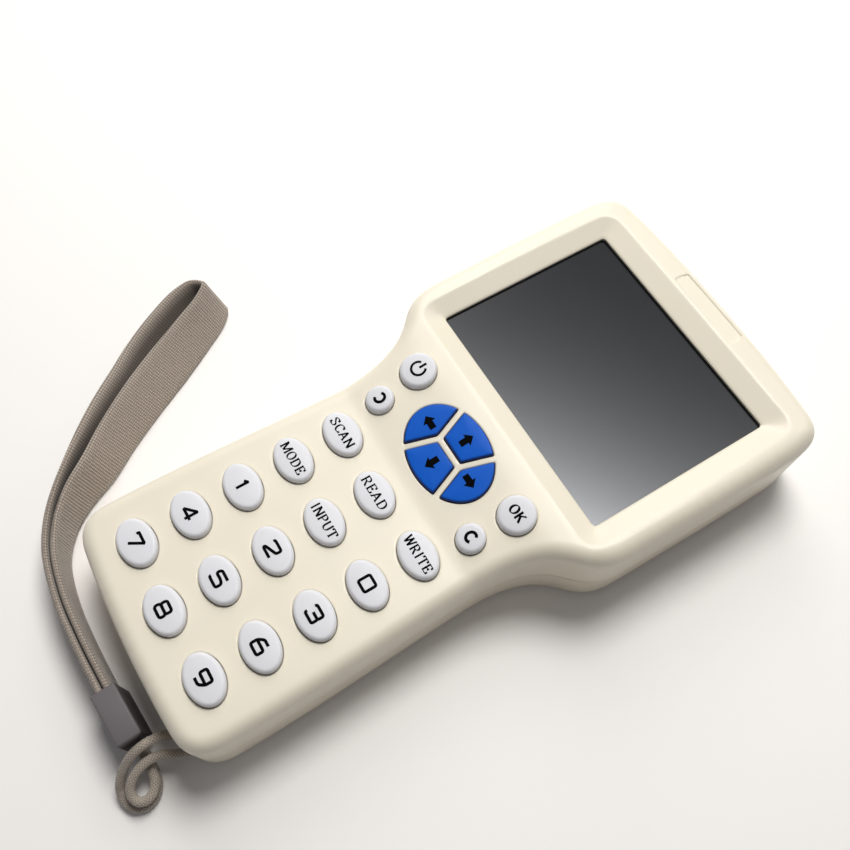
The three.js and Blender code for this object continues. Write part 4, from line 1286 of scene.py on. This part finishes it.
labels = {
    "digit": (3.6, 3.7, 0.68),  # width, height, stroke
    "slimOne": 0.85,
    "word": (2.3, 0.46, 0.18),  # height, broad and thin stroke
    "penTilt": math.radians(17),
    "words": {  # text, length, boldness
        "key_mode": ("MODE", 9.2, 1.0), "key_scan": ("SCAN", 8.9, 1.0),
        "key_input": ("INPUT", 9.6, 1.0), "key_read": ("READ", 9.3, 1.0),
        "key_write": ("WRITE", 9.9, 1.0), "key_ok": ("OK", 4.6, 1.3),
    },
    "letterWidths": {"W": 1.3, "M": 1.3, "I": 0.6, "N": 1.05, "U": 1.05, "E": 0.95, "P": 0.9},
    "power": {"radius": 1.75, "bar": (0.3, 2.3), "stroke": 0.6},
    "clear": {"radii": (1.1, 1.25), "stroke": 0.72},
    "lift": 0.03,
    "sink": 0.12,
    "step": 0.14,
}


# Turns one pen stroke into a thin slab on the cap, whose width may depend on its direction.
def inkStroke(line, penWidth, height, points, faces):
    line = np.array(line, float)
    run = np.concatenate([[0], np.cumsum(np.linalg.norm(np.diff(line, axis=0), axis=1))])
    count = max(int(run[-1] / labels["step"]), 1)
    wanted = np.unique(np.concatenate([np.linspace(0, run[-1], count + 1), run]))
    place = np.stack([np.interp(wanted, run, line[:, k]) for k in (0, 1)], axis=1)
    if len(place) > 2:
        ahead = np.gradient(place, axis=0)
    else:
        ahead = np.repeat([place[-1] - place[0]], len(place), 0)
    ahead = ahead / np.maximum(np.linalg.norm(ahead, axis=1), 1e-9)[:, None]
    side = np.stack([-ahead[:, 1], ahead[:, 0]], axis=1)
    width = np.array([penWidth(direction) for direction in ahead])[:, None] / 2
    start = len(points)
    for edges in zip(place + side * width, place - side * width):
        for x, y in edges:
            level = height(x, y)
            points += [(x, y, level + labels["lift"]), (x, y, level - labels["sink"])]
    for i in range(len(place) - 1):
        a = start + 4 * i
        b = a + 4
        faces += [(a, a + 2, b + 2, b), (a + 1, b + 1, b + 3, a + 3)]
        faces += [(a, b, b + 1, a + 1), (a + 2, a + 3, b + 3, b + 2)]
    end = start + 4 * (len(place) - 1)
    faces += [(start, start + 1, start + 3, start + 2), (end, end + 2, end + 3, end + 1)]


def evenPen(width):
    return lambda direction: width


# The pen is tilted a little, so that falling strokes are bolder than rising ones.
def broadPen(broad, thin):
    def width(direction):
        tilt = labels["penTilt"]
        acrossPen = direction[1] * math.cos(tilt) - direction[0] * math.sin(tilt)
        return math.hypot(broad * acrossPen, thin * direction[0])
    return width


def digitLines(name):
    width, height, pen = labels["digit"]
    width *= labels["slimOne"] if name == "key_1" else 1.0
    for line in digitStrokes[name[-1]]:
        yield [((x - 0.5) * width, (y - 0.5) * height) for x, y in line], evenPen(pen)


def wordLines(text, length, boldness):
    height, broad, thin = labels["word"]
    pen = broadPen(broad * boldness, thin * boldness)
    widths = [labels["letterWidths"].get(letter, 1.0) for letter in text]
    unit = length / sum(widths)
    start = -length / 2
    for letter, wide in zip(text, widths):
        for line in letterStrokes[letter]:
            yield [(start + (0.04 + 0.92 * x) * wide * unit, (y - 0.5) * height) for x, y in line], pen
        start += wide * unit


def labelLines(name):
    if name in digitNames:
        return digitLines(name)
    if name in labels["words"]:
        return wordLines(*labels["words"][name])
    if name == "key_power":
        s = labels["power"]
        ring = arc(0, 0, s["radius"], s["radius"], 125, 415, 30)
        return [(ring, evenPen(s["stroke"])), ([(0, y) for y in s["bar"]], evenPen(s["stroke"]))]
    turn = 180 if name == "key_clear_left" else 0
    s = labels["clear"]
    return [(arc(0, 0, *s["radii"], 45 + turn, 315 + turn, 20), evenPen(s["stroke"]))]


def printLabel(key):
    def height(x, y):
        return float(capHeight(np.array([x]), np.array([y]), key)[0])

    points, faces = [], []
    for line, pen in labelLines(key["name"]):
        inkStroke([(key["x"] + x, key["d"] + y) for x, y in line], pen, height, points, faces)
    points = np.array(points) - (0, half, 0)
    addPiece(key["name"] + "_print", points, faces, inkBlack, key["name"], sharp=30)


for key in capKeys:
    printLabel(key)


# Fat block arrows on the four arrow keys.
arrow = {"length": 3.7, "head": 1.8, "headHalf": 1.65, "shaftHalf": 0.8, "lift": 0.05, "sink": 0.2}


def printArrow(name, direction):
    cx, cy = pad["centres"][name]
    tip, back, shaft = arrow["length"] / 2, arrow["headHalf"], arrow["shaftHalf"]
    neck = tip - arrow["head"]
    shape = [
        (-tip, -shaft), (neck, -shaft), (neck, -back), (tip, 0), (neck, back), (neck, shaft), (-tip, shaft),
    ]
    c, s = direction
    placed = [(cx + x * c - y * s, pad["middle"] + cy + x * s + y * c) for x, y in shape]
    x, d = np.array(placed).T
    roll = np.interp(padField(x, d), [0, 1.1, 2.9], [-0.4, 0.0, 0.09])  # follows the pillow
    level = faceHeight(x, d) + pad["proud"] + roll
    plan = np.column_stack([x, d])
    points = np.vstack([atHeight(plan, level + arrow["lift"]), atHeight(plan, level - arrow["sink"])])
    n = len(shape)
    faces = [(0, 1, 5, 6), (1, 2, 3), (1, 3, 5), (3, 4, 5)]
    faces += [tuple(i + n for i in reversed(face)) for face in faces]
    faces += [(i, i + n, (i + 1) % n + n, (i + 1) % n) for i in range(n)]
    addPiece(name + "_print", points, faces, inkBlack, name, sharp=30)


pointing = {"key_left": (-1, 0), "key_right": (1, 0), "key_up": (0, 1), "key_down": (0, -1)}
for name, direction in pointing.items():
    printArrow(name, direction)
print("labels printed")


# Screen window, with a narrow bevel on its edge.
def makeWindow():
    low, high = (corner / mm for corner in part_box("screen_window"))
    profile = [
        (0.3, low.z), (0, low.z + 0.3), (0, high.z - 0.3), (0.12, high.z - 0.1), (0.35, high.z),
        (0.7, high.z),
    ]
    rings = []
    for out, z in profile:
        loop = roundedBox(high.x - out, low.y + half + out, high.y + half - out, 1.0, spacing=None)
        rings.append(atHeight(loop, z))
    return loftRings(rings)


points, faces = makeWindow()
hidden = ["screen_window"]
addPiece("screen_window_pane", points, faces, screenAcrylic, "case", hidden, 30)
print("screen made")


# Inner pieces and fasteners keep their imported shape, with worked edges and real finishes.
def dress(names, material, edge=0.0):
    for name in names:
        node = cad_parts[name]
        node.data.materials.clear()
        node.data.materials.append(material)
        if edge:
            softenEdge = node.modifiers.new("edge", "BEVEL")
            softenEdge.width = edge * mm
            softenEdge.segments = 2
            softenEdge.limit_method = "ANGLE"
            softenEdge.angle_limit = math.radians(40)
            softenEdge.use_clamp_overlap = True


def numbered(start, count):
    return [f"{start}_{i + 1}" for i in range(count)]


dress(numbered("case_screw", 6), workedMetal("steel_zinc_plated_screw", "#9a9b9c", 0.34), 0.08)
dress(
    numbered("contact_low", 4) + numbered("contact_high", 4),
    workedMetal("spring_steel_nickel_plated", "#c9c5ba", 0.26, (1, 1, 6)),
    0.06,
)
dress(["display_frame"], workedMetal("steel_stamped_frame", "#a7a9ac", 0.36, (1, 8, 1)), 0.08)
dress(["antenna_coil"], workedMetal("copper_enamelled_winding", "#b8683a", 0.32, (1, 1, 14), 0.35), 0.3)
# boards, rubber, foam, glass, film, ferrite and resin: names, light, dark, roughness, grain, relief, edge
plainPieces = {
    "fr4_green_solder_mask": (["main_board", "antenna_board"], "#2c7548", "#174d2c", 0.38, 1.6, 0.03, 0.05),
    "silicone_grey_moulded": (["keypad_mat"], "#c4c7ca", "#aeb1b5", 0.62, 0.8, 0.02, 0.1),
    "foam_black_cut": (["screen_gasket"], "#2b2b2c", "#121213", 0.9, 0.4, 0.1, 0.05),
    "lcd_black_laminated": (["display_panel"], "#17191c", "#101214", 0.18, 6.0, 0.002, 0.08),
    "polyimide_amber_rolled": (["display_flex"], "#b36f22", "#8a4d12", 0.34, 1.0, 0.01, 0.03),
    "ferrite_grey_sintered": (["ferrite_sheet"], "#47474a", "#343436", 0.75, 0.5, 0.03, 0.05),
    "pbt_black_moulded": (["buzzer"], "#1d1d1f", "#131314", 0.48, 0.6, 0.02, 0.15),
}
for name, (pieces, light, dark, rough, grain, depth, edge) in plainPieces.items():
    skin = {"rough": rough, "stir": 0.03, "patch": grain, "grain": grain, "depth": depth}
    if name.startswith("fr4"):
        skin["texture"] = "ShaderNodeTexVoronoi"  # the mask's patches between copper areas
    dress(pieces, mouldedSurface(name, light, dark, skin), edge)


# Alkaline cell: a printed shrink jacket that runs from dark to light grey along the cell.
def cellJacket(length):
    material, shader = startMaterial("pvc_jacket_shrunk", {"Roughness": 0.32, "IOR": 1.53})
    place = addNode(material, "ShaderNodeTexCoord").outputs["Object"]
    along = {"bands_direction": "Y", "Scale": 1 / (length * mm * waveBands), "Phase Offset": 0.6}
    bands = addNode(material, "ShaderNodeTexWave", along, {"Vector": place}).outputs["Fac"]
    colours = {"data_type": "RGBA", 6: hexColour("#2c343c"), 7: hexColour("#7d858c")}
    tint = addNode(material, "ShaderNodeMix", colours, {0: bands})
    joinInto(material, tint.outputs[2], shader.inputs["Base Color"])
    return material


dress(numbered("battery_cell", 4), cellJacket(44.5), 0.2)
print("inner pieces dressed")


# Floor and light, in metres.
studio = {
    "floor": "#fbf8f5",
    "floorHalf": 3.0,
    "world": (0.96, 0.96, 1.0, 1.0),
    "worldStrength": 0.16,
    "lamps": [
        # name, place, aim, size, watts, colour
        ("key", (-0.19, 0.2, 0.62), (0, -0.02, 0), 0.3, 3.5, (1.0, 0.99, 0.965)),
        ("broad", (-0.6, 0.3, 0.55), (0, -0.03, 0), 0.5, 2.3, (1.0, 0.985, 0.97)),
        ("back", (-0.1, 0.85, 0.6), (0, 0.03, 0), 0.5, 0.45, (1.0, 0.99, 0.975)),
    ],
    "card": {"low": (-0.55, 0.24), "high": (0.0, 0.7), "height": 0.8, "bright": (-0.1, 0.31),
             "weights": (1.0, -1.6), "reach": 0.16, "dim": 0.5, "extra": 13.0},
}


# A glowing card overhead that only mirror-like faces see: bright at one corner, dim elsewhere.
def makeCard(s):
    material = bpy.data.materials.new("reflection_card")
    material.use_nodes = True
    material.node_tree.nodes.clear()
    place = addNode(material, "ShaderNodeTexCoord")
    apart = addNode(material, "ShaderNodeSeparateXYZ", {}, {"Vector": place.outputs["Object"]})
    total = {}
    for axis in (0, 1):
        scale = s["weights"][axis] / s["reach"]
        slope = {"operation": "MULTIPLY_ADD", 1: scale, 2: -s["bright"][axis] * scale}
        total[axis] = addNode(material, "ShaderNodeMath", slope, {0: apart.outputs[axis]}).outputs[0]
    total = addNode(material, "ShaderNodeMath", {"operation": "ADD"}, total).outputs[0]
    grown = addNode(material, "ShaderNodeMath", {"operation": "EXPONENT"}, {0: total}).outputs[0]
    lift = {"operation": "MULTIPLY_ADD", 1: s["extra"], 2: s["dim"]}
    level = addNode(material, "ShaderNodeMath", lift, {0: grown}).outputs[0]
    white = {"Color": (0.97, 0.98, 1.0, 1.0)}
    glow = addNode(material, "ShaderNodeEmission", white, {"Strength": level})
    addNode(material, "ShaderNodeOutputMaterial", {}, {"Surface": glow.outputs[0]})
    (x0, y0), (x1, y1), z = s["low"], s["high"], s["height"]
    corners = np.array([(x0, y0, z), (x1, y0, z), (x1, y1, z), (x0, y1, z)]) / mm
    card = meshObject("card", corners, [(0, 3, 2, 1)])
    card.data.materials.append(material)
    card.visible_camera = False
    card.visible_diffuse = False
    card.visible_shadow = False
    card.visible_transmission = False


def makeFloor(s):
    finish = {"Base Color": hexColour(s["floor"]), "Roughness": 0.7}
    material, _ = startMaterial("paper_white_coated", finish)
    far = s["floorHalf"] / mm
    corners = [(-far, -far, 0), (far, -far, 0), (far, far, 0), (-far, far, 0)]
    floor = meshObject("floor", corners, [(0, 1, 2, 3)])
    floor.data.materials.append(material)


def makeLights(s):
    world = bpy.data.worlds.new("studio")
    world.use_nodes = True
    background = world.node_tree.nodes["Background"]
    background.inputs["Color"].default_value = s["world"]
    background.inputs["Strength"].default_value = s["worldStrength"]
    scene.world = world
    for name, place, aim, size, watts, colour in s["lamps"]:
        data = bpy.data.lights.new(name, "AREA")
        data.shape = "DISK"
        data.size = size
        data.energy = watts
        data.color = colour
        lamp = bpy.data.objects.new(name, data)
        lamp.location = place
        lamp.rotation_mode = "QUATERNION"
        lamp.rotation_quaternion = (Vector(aim) - Vector(place)).to_track_quat("-Z", "Y")
        lamp.visible_glossy = name != "key"  # the key lamp would show in the screen
        scene.collection.objects.link(lamp)


makeFloor(studio)
makeLights(studio)
makeCard(studio["card"])
scene.view_settings.view_transform = "Standard"
print("floor and lights made")
